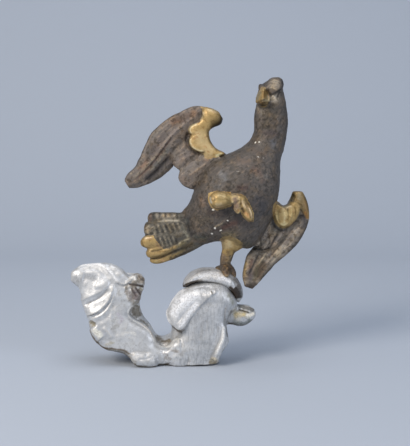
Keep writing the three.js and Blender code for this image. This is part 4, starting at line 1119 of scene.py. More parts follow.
GILT_LEFT = [
    (12.5, 362.5), (19, 361.5), (27, 360), (35.5, 358.5), (42.5, 354.5), (46.5, 345.5), (46, 339),
    (39.5, 334), (31.5, 331), (28, 328.5), (27, 323.5), (28.5, 316.5), (33.5, 309.5), (39.5, 303.5),
    (48, 299.5), (46.5, 295), (40.5, 292), (31.5, 291), (24.5, 288), (19.5, 291), (18.5, 296),
    (13.5, 298), (6.5, 299.5), (1, 303.5), (-2, 309), (-2, 314.5), (0, 319.5), (1, 322.5),
    (-2, 325.5), (-3, 330), (-1, 334), (3.5, 337), (9, 338.5), (13.5, 341), (15, 346.5), (17.5, 353),
    (16, 358),
]
bird_forms += [
    carved("blade_left", BLADE_LEFT, 64, 170, power=2.4, end=0.77),
    carved("blade_left_under", BLADE_LEFT, 64, 170, power=2.4, start=0.5, back=4.5),
    carved("short_left_1", LOBE_LEFT_1, 60, 90),
    carved("short_left_2", LOBE_LEFT_2, 70, 110),
    carved("covert_left_wrist", WRIST_LEFT, 60, 60),
    carved("covert_left_plate", PLATE_LEFT, 90, 110, power=2.8),
]
bird_parts.append((("blade_left", "short_left", "covert_left"), "#6c635c",
                   RAISED_GOUGES, RAISED_LAPS, RAISED_DABS))
gilding = [GILT_LEFT]  # outlines on the front view

# Bird, lowered wing: the same order, hanging on the right with its wrist cut flat, one broad gilded
# scallop, a blade of three long feathers, and a fan of small ribbed ones behind the leg.
def feather(label, vane, around=56, along=70, power=2.0):
    """A feather with parallel edges: its root, tip, width, half thickness, the share of its length
    that rounds off to the tip, and how far it bends sideways."""
    root, tip, width, thick, blunt, bow = vane
    root, tip = np.array(root, float), np.array(tip, float)
    side = np.cross([0, 1, 0], tip - root)
    side /= np.linalg.norm(side)
    stations = []
    for share in (0, 0.4, 1 - blunt, 1 - 0.5 * blunt, 1 - 0.12 * blunt, 1):
        past = max(0, (share - 1 + blunt) / blunt)
        rounding = math.sqrt(1 - 0.93 * past ** 2)
        middle = root + (tip - root) * share + side * bow * math.sin(math.pi * share)
        a, b = middle + side * width / 2 * rounding, middle - side * width / 2 * rounding
        depth = thick * (0.3 + 0.7 * rounding)
        stations.append(((a[0], a[2]), (b[0], b[2]), middle[1], depth, depth))
    return carved(label, stations, around, along, power)


BLADE_RIGHT = [
    ((156, 238), (146, 237), 22, 6, 6), ((165, 225), (139, 228), 22, 8, 7),
    ((168, 209), (131, 213), 20, 8, 7), ((165, 193), (119, 200), 17, 8, 7),
    ((159, 180), (108, 186), 14, 8, 7), ((149, 166), (96, 172), 10, 8, 7),
    ((135, 153), (85, 160), 6, 8, 7), ((120, 141), (78, 150), 2, 8, 7),
    ((107, 127), (75, 138), -2, 7, 7), ((96, 115), (73, 125), -5, 6, 6),
    ((87, 107), (76, 110), -8, 4, 4),
]
LOWERED_SHORT = [
    ((120, 8, 215), (90, -3, 168), 12, 8, 0.2, -3),
    ((127, 9, 211), (99, -1, 163), 12, 8, 0.2, -3),
    ((134, 10, 203), (110, 1, 164), 12, 8, 0.2, -3),
]
ROOT_RIGHT = [(99, 12, 222, 18), (115, 14, 217, 14), (129, 16, 210, 10)]
WRIST_RIGHT = [
    ((158, 241.5), (144, 241.5), 19, 8, 8), ((162.5, 233.5), (141, 233.5), 18, 9, 8),
    ((166, 222.5), (138, 225.5), 16, 9, 8), ((167.5, 211), (143, 215.5), 15, 8, 8),
    ((167.5, 202.5), (158.5, 207), 15, 5, 8),
]
PLATE_RIGHT = [
    ((158.5, 221.5), (142, 231.5), 14, 11, 9), ((156.5, 216), (136.5, 225), 13, 12, 9),
    ((152, 208), (130, 222.5), 11, 13, 9), ((147.5, 201.5), (125, 225), 9, 14, 9),
    ((140.5, 195), (121, 226.5), 8, 14, 9), ((132, 191.5), (118, 223.5), 7, 13, 9),
    ((122, 194.5), (115.5, 218), 6, 11, 9), ((116.5, 204), (115, 213.5), 5, 8, 8),
]
LOWERED_GOUGES = [
    (1.2, 1.5, [
        (147.5, 195), (139.5, 182), (130, 169.5), (120, 158), (109, 145), (100.5, 135)
    ]),
    (0.9, 1.3, [(134, 190.5), (125.5, 179.5), (117, 166.5)]),
    (0.9, 1.3, [(153.5, 195), (149, 186.5), (144, 175), (137, 165)]),
    (0.9, 1.2, [(120, 155), (117.5, 148), (113, 141)]),
    (0.8, 1.2, [(106, 158), (100.5, 148), (94, 138.5)]),
    (-0.7, 1.1, [(112.5, 152.5), (107, 142.5), (101.5, 132.5), (93.5, 121)]),
    (-1.0, 1.1, [(97, 158), (93.5, 149.5), (88.5, 138), (83.5, 125)]),
    (-0.5, 1.0, [(152, 188), (146.5, 177), (139.5, 166.5), (130, 156.5)]),
    (-0.9, 1.1, [(125, 159.5), (118, 149.5), (110.5, 141)]),
    (1.0, 1.2, [(112, 207.5), (109, 200.5), (105, 192)]),
    (1.0, 1.2, [(115, 193.5), (117.5, 188), (118.5, 180.5)]),
    (1.1, 1.2, [(95.5, 185), (92.5, 175), (94, 166.5)]),
    (1.0, 1.1, [(100, 185), (104.5, 175), (108, 166.5)]),
    (0.8, 1.0, [(108.5, 192), (110.5, 180.5), (113, 171)]),
    (-1.2, 1.1, [(104.5, 195), (101, 186.5), (99, 175), (99.5, 166.5)]),
    (-1.1, 1.0, [(108, 188), (110, 176.5), (111.5, 166.5)]),
    (-1.1, 1.1, [(92, 185), (88.5, 176.5), (89, 166.5)]),
    (-1.2, 1.2, [(112.5, 199), (115, 192), (121, 186.5), (129.5, 188)]),
    (0.9, 1.1, [(119.5, 221.5), (118.5, 212), (122, 202)]),
    (-0.8, 0.9, [(123, 219), (122.5, 209), (126, 199)]),
    (1.1, 1.2, [(130, 216), (131.5, 207.5), (131, 197)]),
    (-0.9, 0.9, [(135.5, 220.5), (137, 210.5), (136, 200)]),
    (0.9, 1.1, [(140.5, 221.5), (141.5, 213), (140, 203.5)]),
    (-0.8, 0.9, [(144.5, 223), (146, 214.5), (145, 207)]),
    (1.3, 1.5, [
        (120.5, 214.5), (121, 206), (124.5, 199), (130, 196), (135.5, 198.5), (138.5, 205.5),
        (139, 214.5)
    ]),
    (-0.9, 1.3, [(125, 213), (126.5, 205.5), (131, 202), (134.5, 207)]),
    (1.0, 2.0, [(126.5, 218), (133.5, 220.5), (142, 223)]),
    (-1.0, 1.0, [(153, 219.5), (157.5, 214), (159.5, 207)]),
    (-1.2, 1.7, [(142.5, 240.5), (144.5, 235), (142.5, 228.5)]),
    (0.7, 1.7, [(153, 241.5), (153, 233.5), (149, 226)]),
]
LOWERED_LAPS = [
    (1.3, 6, 0.5, [(90.5, 162.5), (100.5, 162), (109.5, 166), (115.5, 175.5), (122, 187)]),
    (1.0, 5, 0.5, [(85, 123.5), (92, 135), (100.5, 146), (110, 156.5)]),
]
# Dabs of paint, with painted highlights and painted shade among them.
LOWERED_DABS = [
    ("#8d837a", 0.7, 2.4, [
        (147.5, 195.5), (139.5, 183.5), (130, 170), (120, 159.5), (109, 146.5), (100.5, 136.5)
    ]),
    ("#847a73", 0.7, 2.6, [(134, 190), (125.5, 179.5), (117, 166.5)]),
    ("#aea598", 0.8, 5.5, [(149, 192), (139.5, 179.5), (128.5, 165), (117.5, 152.5)]),
    ("#46392a", 0.95, 8.0, [(104.5, 146.5), (97.5, 136.5), (89.5, 121)]),
    ("#6f6245", 0.5, 2.0, [(106, 152.5), (97, 141), (90.5, 129.5)]),
    ("#6c635b", 0.6, 1.1, [(143, 192), (134.5, 180.5), (125.5, 168.5), (114.5, 156.5), (103.5, 143)]),
    ("#675e57", 0.6, 1.0, [(152, 188), (146.5, 177), (139.5, 166.5), (130, 156.5), (117.5, 145)]),
    ("#7e7669", 0.6, 2.0, [(149.5, 185), (144, 175), (135.5, 164.5)]),
    ("#7d6d60", 0.6, 3.0, [(145, 190.5), (139.5, 179.5), (131, 166.5)]),
    ("#a39a88", 0.7, 1.5, [(121, 155), (118.5, 148.5), (114.5, 142.5)]),
    ("#8b8473", 0.6, 2.0, [(128.5, 158), (123, 151.5)]),
    ("#958c7a", 0.7, 1.5, [(106, 156.5), (100.5, 147.5), (95, 138.5)]),
    ("#463a2b", 0.85, 5.0, [(106, 141), (100.5, 132.5), (92, 119.5)]),
    ("#776b45", 0.8, 1.8, [(78.5, 146.5), (76.5, 135), (76, 122)]),
    ("#65483a", 0.7, 2.6, [(87, 149.5), (85.5, 141), (82.5, 132.5)]),
    ("#4a3f45", 0.8, 3.0, [(85, 135), (83.5, 125), (85, 116.5)]),
    ("#373138", 0.85, 3.6, [(76.5, 112), (82.5, 107), (91, 110)]),
    ("#2f2925", 0.85, 1.6, [(95.5, 156.5), (91.5, 146.5), (86.5, 135), (81.5, 123.5)]),
    ("#5e563f", 0.6, 2.6, [(92, 135), (92, 125), (88, 115)]),
    # Painted shadow under the small feathers and along the lap.
    ("#161210", 0.95, 2.4, [(86.5, 162), (94.5, 162), (103, 161.5)]),
    ("#2f2926", 0.9, 1.6, [(103, 161.5), (111, 164.5), (117, 175), (123.5, 186.5)]),
    # Painted shadow under the scallop.
    ("#1d1815", 0.95, 2.6, [(113.5, 209), (115, 200), (120.5, 192), (128, 188.5), (136.5, 190.5)]),
    ("#423d3e", 0.9, 3.6, [(155, 214), (159, 206), (159.5, 197.5), (156, 189)]),
    # Painted shade along the wing's outer outline.
    ("#3a3633", 0.9, 2.8, [(165, 205), (162, 192), (155, 180), (145.5, 166.5), (132.5, 153.5)]),
    ("#38322a", 0.9, 2.8, [(131.5, 152.5), (118, 139.5), (107, 127.5), (96.5, 115)]),
    ("#3a322b", 0.9, 6.0, [(79.5, 112), (86, 108), (93.5, 115)]),
    ("#757674", 0.6, 2.0, [(115.5, 190.5), (119, 183.5)]),
    ("#746c66", 0.6, 3.4, [(108.5, 195), (106, 186.5), (108.5, 175)]),
    ("#8b7f76", 0.7, 1.4, [(95.5, 184), (92.5, 175), (94, 168)]),
    ("#7a6f67", 0.7, 1.2, [(100, 183.5), (104.5, 174.5), (107.5, 167)]),
    ("#8a7f63", 0.7, 1.5, [(112.5, 207.5), (110, 201), (106.5, 195)]),
    ("#332d2a", 0.8, 1.2, [(104.5, 193.5), (100.5, 185), (98.5, 175), (99.5, 167)]),
    ("#37302d", 0.8, 1.1, [(92, 184), (88.5, 175.5), (89, 167)]),
    ("#3c3531", 0.7, 1.1, [(108.5, 186.5), (111, 176.5), (111.5, 168)]),
    # Painted shade on the wrist's right side.
    ("#73603a", 0.9, 7.0, [(151.5, 241.5), (156, 228.5), (161.5, 212)]),
    ("#54462a", 0.85, 2.8, [(159, 238.5), (164, 227.5), (167, 214.5)]),
    ("#4a4127", 0.95, 3.0, [(143.5, 241.5), (143, 234.5), (140.5, 228.5)]),
    ("#b7a683", 0.8, 2.6, [(151.5, 242.5), (151.5, 235.5), (149.5, 231)]),
    ("#85683c", 0.7, 2.4, [(158.5, 231.5), (161.5, 223), (163.5, 214.5)]),
    ("#94672f", 0.9, 2.0, [(158.5, 216), (162.5, 210.5), (164.5, 205)]),
    # Painted shade in the hollow beside the wrist.
    ("#2c231a", 0.9, 1.2, [(153, 219.5), (156.5, 214.5), (158.5, 207)]),
    # Painted highlights and painted shade on the scallop's folds and lip.
    ("#e3d0a6", 0.8, 2.2, [(127, 218), (133.5, 220.5), (142, 223)]),
    ("#e5d6a2", 0.8, 1.6, [(125.5, 198.5), (131, 196.5), (136, 200)]),
    ("#6e5c30", 0.8, 1.2, [(123, 219), (122.5, 209), (126, 199)]),
    ("#d3bd86", 0.6, 7.0, [(125, 221.5), (131, 210.5), (139, 214.5)]),
    ("#d9c58e", 0.8, 1.4, [(119.5, 221.5), (118.5, 212), (122, 202)]),
    ("#e2d2a0", 0.8, 1.5, [(130, 216), (131.5, 207.5), (131, 197)]),
    ("#6b592c", 0.65, 1.2, [(135.5, 220.5), (137, 210.5), (136, 200)]),
    ("#c7b179", 0.7, 1.4, [(140.5, 221.5), (141.5, 213), (140, 203.5)]),
    ("#6b592c", 0.8, 1.3, [(145.5, 223), (147, 214.5), (145.5, 207)]),
    # Painted shadow under the scallop's lower edge.
    ("#5b4b26", 0.8, 1.2, [(124, 193.5), (131, 192), (138.5, 195)]),
    ("#5e5234", 0.7, 1.6, [(121, 228), (126.5, 224.5), (133.5, 225.5), (139, 231)]),
]
GILT_RIGHT = [
    (141, 245), (157, 245), (162, 235.5), (165, 224.5), (167.5, 213), (167, 204), (161.5, 206),
    (156.5, 213), (153, 217.5), (152, 212), (148, 204), (142.5, 198), (137, 193), (130.5, 191.5),
    (124, 193), (118.5, 198), (115.5, 206), (114.5, 216), (115.5, 225), (120, 230), (124.5, 227.5),
    (129, 225.5), (134, 228.5), (137.5, 232), (139, 237),
]
bird_forms += [
    carved("blade_right_1", BLADE_RIGHT, 64, 170, power=2.6, end=0.45),
    carved("blade_right_2", BLADE_RIGHT, 64, 170, power=2.6, start=0.33, end=0.74, back=0.7),
    carved("blade_right_3", BLADE_RIGHT, 64, 170, power=2.6, start=0.62, back=1.4),
    carved("covert_right_wrist", WRIST_RIGHT, 60, 60, power=2.4),
    carved("covert_right_plate", PLATE_RIGHT, 80, 90, power=2.4),
    limb("root_right", ROOT_RIGHT, 40, 30, flat=0.6),
]
bird_forms += [feather("short_right_%d" % (i + 1), vane, 50, 60) for i, vane in enumerate(LOWERED_SHORT)]
bird_parts.append((("blade_right", "short_right", "covert_right", "root_right"), "#837a6f",
                   LOWERED_GOUGES, LOWERED_LAPS, LOWERED_DABS))
gilding.append(GILT_RIGHT)

# Bird, tail: five stepped feathers, barred across near the rump, gilded on the three lowest.
TAIL = [
    ((5, 6, 205), (-60, 6, 206), 15, 10, 0.08, 0),
    ((9, 3, 197), (-65, 3, 189), 20.5, 13, 0.08, 0),
    ((12, 2, 185), (-70, -1, 171), 20, 13, 0.2, 1),
    ((16, 2, 179), (-62, -1, 155), 17, 12, 0.15, 1),
    ((16, 4, 175), (-57, 4, 145), 15, 11, 0.2, -3),
]
TAIL_GOUGES = [
    (0.6, 1.2, [(-47, 202.5), (-34.5, 203.5), (-23, 202.5), (-13.5, 202.5)]),
    (-1.5, 1.2, [(-57, 159), (-45.5, 160.5), (-34.5, 164), (-23, 168), (-13.5, 173)]),
    (-1.6, 1.3, [(-56.5, 148), (-46, 148.5), (-34.5, 153), (-23.5, 158), (-12, 162)]),
    (1.0, 1.7, [(-57, 153.5), (-47, 154), (-36, 158), (-24.5, 163)]),
    (0.8, 1.3, [(-17.5, 168.5), (-9, 174.5), (-0.5, 177)]),
    (-0.8, 1.0, [(-63.5, 196.5), (-62.5, 182)]),
    (0.8, 1.5, [(-66, 177), (-59.5, 178.5), (-52.5, 178)]),
]
# Dabs of paint, with painted highlights and painted shade among them.
TAIL_DABS = [
    ("#91887a", 0.9, 4.4, [(-49.5, 208.5), (-34.5, 208.5), (-19, 209)]),
    ("#c6bda9", 0.85, 1.4, [(-47, 200.5), (-34.5, 202.5), (-24.5, 202.5), (-14, 203)]),
    ("#574a45", 0.9, 2.4, [(-56, 213), (-56.5, 200.5)]),
    ("#8f8574", 0.9, 4.0, [(-61, 197), (-60.5, 190.5), (-58, 183.5)]),
    ("#948b79", 0.8, 2.0, [(-53, 195), (-51, 188), (-50, 180.5)]),
    ("#2b2823", 0.95, 2.2, [(-10.5, 205), (-4, 195), (2, 185)]),
    ("#8f8d7f", 0.9, 1.5, [(-14, 197.5), (-9, 188), (-3, 178)]),
    ("#7b7a6e", 0.8, 1.4, [(-6.5, 212), (0, 202), (7.5, 192)]),
    ("#45413a", 0.6, 3.4, [(-26, 171), (-15, 176.5), (-3.5, 179.5)]),
    ("#6f6647", 0.8, 2.6, [(-31.5, 160), (-19, 166), (-5, 173.5)]),
    ("#6a5d40", 0.8, 2.4, [(-31.5, 148.5), (-19, 155), (-3.5, 163.5)]),
    ("#9a927c", 0.8, 1.3, [(-20.5, 168), (-10.5, 173.5), (-0.5, 177)]),
    # Painted highlight along a ridge of the tail's tip.
    ("#dcc7a4", 0.85, 1.7, [(-65.5, 177.5), (-59.5, 178), (-53.5, 178)]),
    ("#ac9260", 0.7, 3.2, [(-64, 171.5), (-57, 170), (-50.5, 168.5)]),
    ("#a98c6c", 0.7, 2.2, [(-49, 172), (-45, 166.5), (-40, 163)]),
    # Painted highlight on the lower feathers.
    ("#c8a66c", 0.8, 1.8, [(-55, 154.5), (-49.5, 155), (-43, 156)]),
    ("#85714a", 0.7, 2.6, [(-38.5, 157), (-29, 161.5), (-19, 166.5)]),
    # Painted shade in the grooves between feathers.
    ("#453620", 0.9, 1.2, [(-57, 148.5), (-46, 149), (-34.5, 153), (-23.5, 158)]),
    ("#443823", 0.85, 1.1, [(-57, 158.5), (-48.5, 159.5), (-38.5, 162)]),
    # Painted highlights on the lowest feather.
    ("#c2b183", 0.8, 1.4, [(-50.5, 144.5), (-46, 145)]),
    ("#d8ab80", 0.8, 1.4, [(-41.5, 146), (-36.5, 146)]),
    ("#6e5f3a", 0.7, 2.4, [(-31.5, 148.5), (-20.5, 154.5), (-9, 161)]),
    ("#463b24", 0.85, 3.6, [(-15, 163), (-5, 167), (5, 171.5)]),
    ("#3a2e1e", 0.8, 1.3, [(-34.5, 143), (-20.5, 150), (-6.5, 158), (6.5, 164.5)]),
    ("#8c7a58", 0.4, 9.0, [(-62.5, 166.5), (-48.5, 153.5), (-26, 155)]),
    ("#6b5a35", 0.8, 1.2, [(-69, 175), (-66, 166.5), (-60.5, 161)]),
]
# Its dark bars, with light ones between: the tops of the first and last of a row, their feet, and how
# many are dark.
TAIL_BARS = [
    ((-51, 214), (-18, 213), (-51, 205), (-17, 205.5), 5),
    ((-48.5, 196.5), (-15.5, 200.5), (-44.5, 183), (-9, 188), 6),
    ((-46, 180), (-22.5, 181.5), (-40.5, 163.5), (-17.5, 168.5), 5),
]
rng = np.random.default_rng(11)
for *ends, dark_bars in TAIL_BARS:
    first_top, last_top, first_foot, last_foot = (np.array(point) for point in ends)
    bars = 2 * dark_bars - 1
    for place in range(bars):
        step = place / (bars - 1)
        top = first_top + (last_top - first_top) * step + rng.uniform(-0.8, 0.8, 2)
        foot = first_foot + (last_foot - first_foot) * step + rng.uniform(-1.2, 1.2, 2)
        bar = [tuple(top), tuple(foot)]
        height, code = (0.4, "#847e70") if place % 2 else (-0.9, "#2b2823")
        TAIL_GOUGES.append((height, 1.2, bar))
        TAIL_DABS.append((code, rng.uniform(0.4, 0.9), rng.uniform(1.0, 1.8), bar))
GILT_TAIL = [
    (-72.5, 179.5), (-69.5, 180.5), (-61, 181), (-52, 181.5), (-48.5, 175), (-43.5, 168), (-38, 162),
    (-26, 165), (-15, 169.5), (-9, 174.5), (-6.5, 166.5), (-9, 156.5), (-20.5, 148.5), (-32, 141.5),
    (-43, 139.5), (-55.5, 140), (-62.5, 148), (-64, 158.5), (-69.5, 164), (-72.5, 171),
]
bird_forms += [feather("tail_%d" % (i + 1), vane, 60, 90, power=3.0) for i, vane in enumerate(TAIL)]
bird_parts.append((("tail",), "#58544b", TAIL_GOUGES, [], TAIL_DABS))
gilding.append(GILT_TAIL)

# Bird, standing leg: a gilded thigh that narrows to a brown shank with three toes on the perch.
LEG = [
    ((36, 202), (86, 188), -10, 22, 22), ((41, 188), (79, 172), -9, 19, 18),
    ((43, 173), (71, 164), -8, 14, 13), ((44, 163), (62, 158), -7, 9, 9),
    ((42, 153), (59, 150), -6, 7.5, 7.5), ((41, 143), (56, 142), -5, 7, 7),
    ((41, 133), (56, 133), -5, 7.5, 7.5), ((42, 126), (55, 126), -5, 7.5, 7.5),
]
TOE_FRONT = [(48, -5, 139, 7), (49, -16, 135, 6.5), (50, -24, 131, 5), (51, -28, 128, 2.5)]
TOE_RIGHT = [(50, -2, 138, 7), (56, -8, 134, 6), (60, -11, 129, 4.5), (62, -12, 124, 2.5)]
TOE_BACK = [(46, 0, 134, 7), (39, 6, 133, 5), (36, 9, 134, 3)]
LEG_GOUGES = [
    (-0.7, 1.3, [(50.5, 168), (50, 156.5), (49, 143.5)]),
    (0.7, 1.2, [(54.5, 175), (53.5, 161), (53.5, 143.5)]),
    (0.6, 1.1, [(45.5, 161), (44.5, 149.5), (43.5, 139.5)]),
    (-0.9, 1.3, [(42, 143), (48.5, 141), (56, 142.5)]),
    (0.9, 1.6, [(43, 136), (48.5, 134.5), (55, 136)]),
]
LEG_DABS = [
    ("#4a4037", 0.7, 2.6, [(41.5, 185.5), (55.5, 188), (72, 185.5)]),
    # Painted highlight on the thigh.
    ("#cdb98e", 0.9, 6.0, [(51, 178), (52.5, 171), (54, 162)]),
    ("#c9b889", 0.6, 2.0, [(53.5, 176.5), (54.5, 169.5)]),
    ("#a3906a", 0.7, 2.6, [(45.5, 178), (46.5, 169.5), (47.5, 161)]),
    ("#8f7c58", 0.7, 3.4, [(61, 179.5), (64.5, 173.5), (64, 166.5)]),
    ("#7d6949", 0.8, 3.4, [(52.5, 161), (52.5, 152.5), (51, 145)]),
    ("#66523d", 0.7, 2.0, [(47, 156.5), (46.5, 149.5), (45, 142.5)]),
    ("#4c3d2e", 0.8, 1.3, [(43.5, 165), (43, 152.5), (41, 141)]),
    ("#4d4233", 0.8, 1.4, [(63, 161), (59, 151), (57, 141)]),
    ("#5a4b3d", 0.95, 6.0, [(40, 141), (48.5, 136.5), (57, 134.5)]),
    ("#54463a", 0.95, 5.0, [(48.5, 136.5), (50, 131), (52.5, 125)]),
    ("#463a30", 0.95, 4.0, [(57, 141), (61, 133.5), (64.5, 125)]),
    ("#8c7658", 0.6, 1.3, [(46.5, 141), (50, 136.5), (51.5, 131)]),
    ("#4f463e", 0.85, 2.4, [(34.5, 135), (38.5, 137.5), (42, 136.5)]),
    ("#4a3c30", 0.9, 3.0, [(55.5, 135), (59.5, 130), (64, 123.5)]),
]
bird_forms.append(carved("leg", LEG, 60, 90))
bird_forms += [limb("toe", toe, 20, 20) for toe in (TOE_FRONT, TOE_RIGHT, TOE_BACK)]
GILT_THIGH = [
    (39, 171), (41.5, 176.5), (47, 180.5), (55.5, 181.5), (65, 177), (73, 171), (73.5, 163),
    (66.5, 158.5), (62.5, 153.5), (50, 152.5), (43, 158),
]
gilding.append(GILT_THIGH)
bird_parts.append((("leg", "toe"), "#80715a", LEG_GOUGES, [], LEG_DABS))

# Bird, raised leg: a gilded shank held across the breast, with a brown inner toe and a long gilded
# outer toe hanging from it.
SHANK = [
    ((26, 243), (27, 236), -62, 5, 5), ((29, 247), (30, 230), -62, 10, 9),
    ((34, 250), (36, 227), -62, 12, 11), ((43, 250), (44, 229), -61, 11, 10),
    ((54, 248), (54, 232), -59, 9, 8), ((63, 247), (65, 233), -57, 8, 8),
    ((73, 243), (74, 235), -55, 5, 5),
]
TOE_INNER = [
    ((53.5, 243), (69, 243.5), -55.5, 6, 6), ((56, 233.5), (69.5, 233.5), -56, 6.5, 6),
    ((59, 225.5), (68.5, 225.5), -56, 5, 5), ((63, 219.5), (66.5, 219.5), -55, 2.8, 3),
]
TOE_OUTER = [
    ((64, 245), (74.5, 241.5), -53, 6, 6), ((67.5, 238), (77, 234.5), -54, 6.5, 6),
    ((68, 230), (81.5, 226), -55, 6.5, 6), ((69.5, 222), (84.5, 218.5), -55, 5.5, 6),
    ((75, 214), (85, 214), -54.5, 4.5, 4.5), ((80.5, 209.5), (84, 210), -54, 2.6, 2.6),
]
HIP = [(46, -28, 235, 15), (41, -46, 237, 12), (38, -58, 238, 9)]
RAISED_LEG_GOUGES = [
    (-1.0, 1.4, [(30, 223), (38.5, 221), (49.5, 224), (56.5, 226.5)]),
    (-0.9, 1.3, [(31.5, 238), (35.5, 233.5), (33, 228)]),
    (0.9, 1.8, [(35, 227.5), (40.5, 226), (47, 228)]),
    (0.9, 1.8, [(37, 238), (44, 237), (51, 237.5)]),
    (-0.7, 1.2, [(35.5, 232), (44, 231.5), (52.5, 232)]),
    (-1.3, 1.0, [(55, 237), (56.5, 228.5), (60, 219)]),
    (-1.3, 1.0, [(70.5, 235), (70.5, 227.5), (70.5, 220.5)]),
    (-1.8, 1.5, [(71.5, 221.5), (74, 216), (77.5, 210.5)]),
    (0.9, 1.0, [(72, 231), (75.5, 224), (79.5, 216)]),
    (-0.9, 1.0, [(77, 227.5), (80.5, 219), (82.5, 209.5)]),
    (0.9, 1.1, [(79.5, 225), (84, 216), (86, 206)]),
]
# Dabs of paint, with painted highlights and painted shade among them.
RAISED_LEG_DABS = [
    # Painted highlights on the shank's heel and top.
    ("#ece6cf", 0.85, 1.7, [(27, 236.5), (27.5, 231.5), (29, 226)]),
    ("#8d7550", 0.7, 2.0, [(31, 238.5), (33.5, 234.5), (32.5, 230)]),
    ("#d8c295", 0.7, 2.2, [(34.5, 226.5), (39, 225), (44.5, 227.5)]),
    ("#cdb98a", 0.7, 2.4, [(37, 238), (43.5, 237), (49.5, 237)]),
    ("#c9a57c", 0.7, 1.8, [(34.5, 221), (40.5, 220.5), (47, 223)]),
    ("#9b8757", 0.6, 1.8, [(37, 232), (45.5, 231), (52.5, 232)]),
    ("#8c7a4c", 0.75, 3.0, [(52.5, 238), (53.5, 232), (52.5, 226)]),
    ("#7c694c", 0.6, 3.0, [(73.5, 233), (77.5, 223), (83, 213)]),
    # Painted shade under the shank.
    ("#4b3a22", 0.85, 1.2, [(30, 222), (37, 219), (48, 220.5), (56.5, 224.5)]),
    ("#86705f", 0.95, 4.6, [(61, 237), (63.5, 227.5), (65.5, 217.5)]),
    ("#6f5b4e", 0.7, 1.6, [(58.5, 227.5), (62, 219), (66.5, 212.5)]),
    ("#7e6b52", 0.8, 1.7, [(56.5, 239), (63.5, 239), (70.5, 237.5)]),
    # Painted highlight on the outer toe.
    ("#f0d9b0", 0.85, 1.4, [(71.5, 231.5), (74, 225), (77.5, 219.5)]),
    ("#a98a62", 0.7, 1.6, [(77, 229.5), (80.5, 222.5), (82.5, 214.5)]),
    # Painted shade in the hollow of the toe.
    ("#3f2d1a", 0.95, 2.0, [(71, 221.5), (73.5, 216.5), (76, 212)]),
    ("#e3b37a", 0.9, 2.0, [(76, 215.5), (79, 210.5), (82, 206)]),
    # Painted highlight on the toe's right edge.
    ("#ecd6ae", 0.85, 1.3, [(81, 221.5), (84.5, 214), (86, 205.5)]),
    ("#5f4628", 0.8, 1.0, [(82, 215.5), (83.5, 209.5), (84.5, 205)]),
]
GILT_SHANK = [
    (25, 241.5), (35.5, 244.5), (56.5, 242.5), (57.5, 235.5), (56.5, 227.5), (57.5, 222.5),
    (37, 216.5), (28.5, 221.5), (24.5, 230),
]
GILT_TOE = [
    (69, 240.5), (77, 236.5), (83, 226), (89, 213), (89, 201), (82, 200), (73.5, 207.5), (70, 214.5),
    (69.5, 227.5),
]
bird_forms += [
    carved("shank", SHANK, 50, 60),
    carved("inner_toe", TOE_INNER, 40, 40),
    carved("outer_toe", TOE_OUTER, 40, 40, power=2.4),
    limb("hip", HIP, 30, 20),
]
bird_parts.append((("shank", "inner_toe", "outer_toe"), "#c3ab78", RAISED_LEG_GOUGES, [], RAISED_LEG_DABS))
gilding += [GILT_SHANK, GILT_TOE]

# Bird, feather tips: a small drop-shaped tip, repeated over the trunk and neck by a node tree that
# scatters it on the surface and lays each one down towards the tail.
TIP_SIZES = {"Length": 7.0 * MM, "Width": 4.2 * MM, "Rise": 0.9 * MM, "Spacing": 4.6 * MM}
TIP_SEED = 11
TIP_DENSITY = 60000.0  # tips on a square metre, before those that stand too close are dropped


def tip_tree():
    """Scatters one drop over the surface that it is given."""
    tree = bpy.data.node_groups.new("feather_tips", "GeometryNodeTree")
    face = tree.interface
    face.new_socket("Surface", in_out="INPUT", socket_type="NodeSocketGeometry")
    for name in TIP_SIZES:
        face.new_socket(name, in_out="INPUT", socket_type="NodeSocketFloat")
    face.new_socket("Seed", in_out="INPUT", socket_type="NodeSocketInt")
    face.new_socket("Finish", in_out="INPUT", socket_type="NodeSocketMaterial")
    face.new_socket("Tips", in_out="OUTPUT", socket_type="NodeSocketGeometry")
    given = node(tree, "NodeGroupInput").node.outputs
    scatter = node(tree, "GeometryNodeDistributePointsOnFaces", {"distribute_method": "POISSON"},
                   {"Mesh": given["Surface"], "Distance Min": given["Spacing"], "Density Max": TIP_DENSITY,
                    "Seed": given["Seed"]})
    normal = scatter.node.outputs["Normal"]
    along = node(tree, "GeometryNodeInputNamedAttribute", {"data_type": "FLOAT_VECTOR"}, {"Name": "lie"})
    stand = node(tree, "FunctionNodeAlignRotationToVector", {"axis": "Z"}, {"Vector": normal})
    turned = node(tree, "FunctionNodeAlignRotationToVector", {"axis": "X", "pivot_axis": "Z"},
                  {"Rotation": stand, "Vector": along})
    ball = node(tree, "GeometryNodeMeshUVSphere", {}, {"Segments": 8, "Rings": 6, "Radius": 0.5})
    shape = node(tree, "ShaderNodeCombineXYZ", {},
                 {"X": given["Length"], "Y": given["Width"], "Z": given["Rise"]})
    drop = node(tree, "GeometryNodeTransform", {}, {"Geometry": ball, "Scale": shape})
    size = node(tree, "FunctionNodeRandomValue", {"data_type": "FLOAT"},
                {2: 0.75, 3: 1.15, "Seed": given["Seed"]}, 1)
    laid = node(tree, "GeometryNodeInstanceOnPoints", {},
                {"Points": scatter, "Instance": drop, "Rotation": turned, "Scale": size})
    real = node(tree, "GeometryNodeRealizeInstances", {}, {"Geometry": laid})
    real = node(tree, "GeometryNodeSetMaterial", {}, {"Geometry": real, "Material": given["Finish"]})
    node(tree, "NodeGroupOutput", {}, {"Tips": real})
    return tree


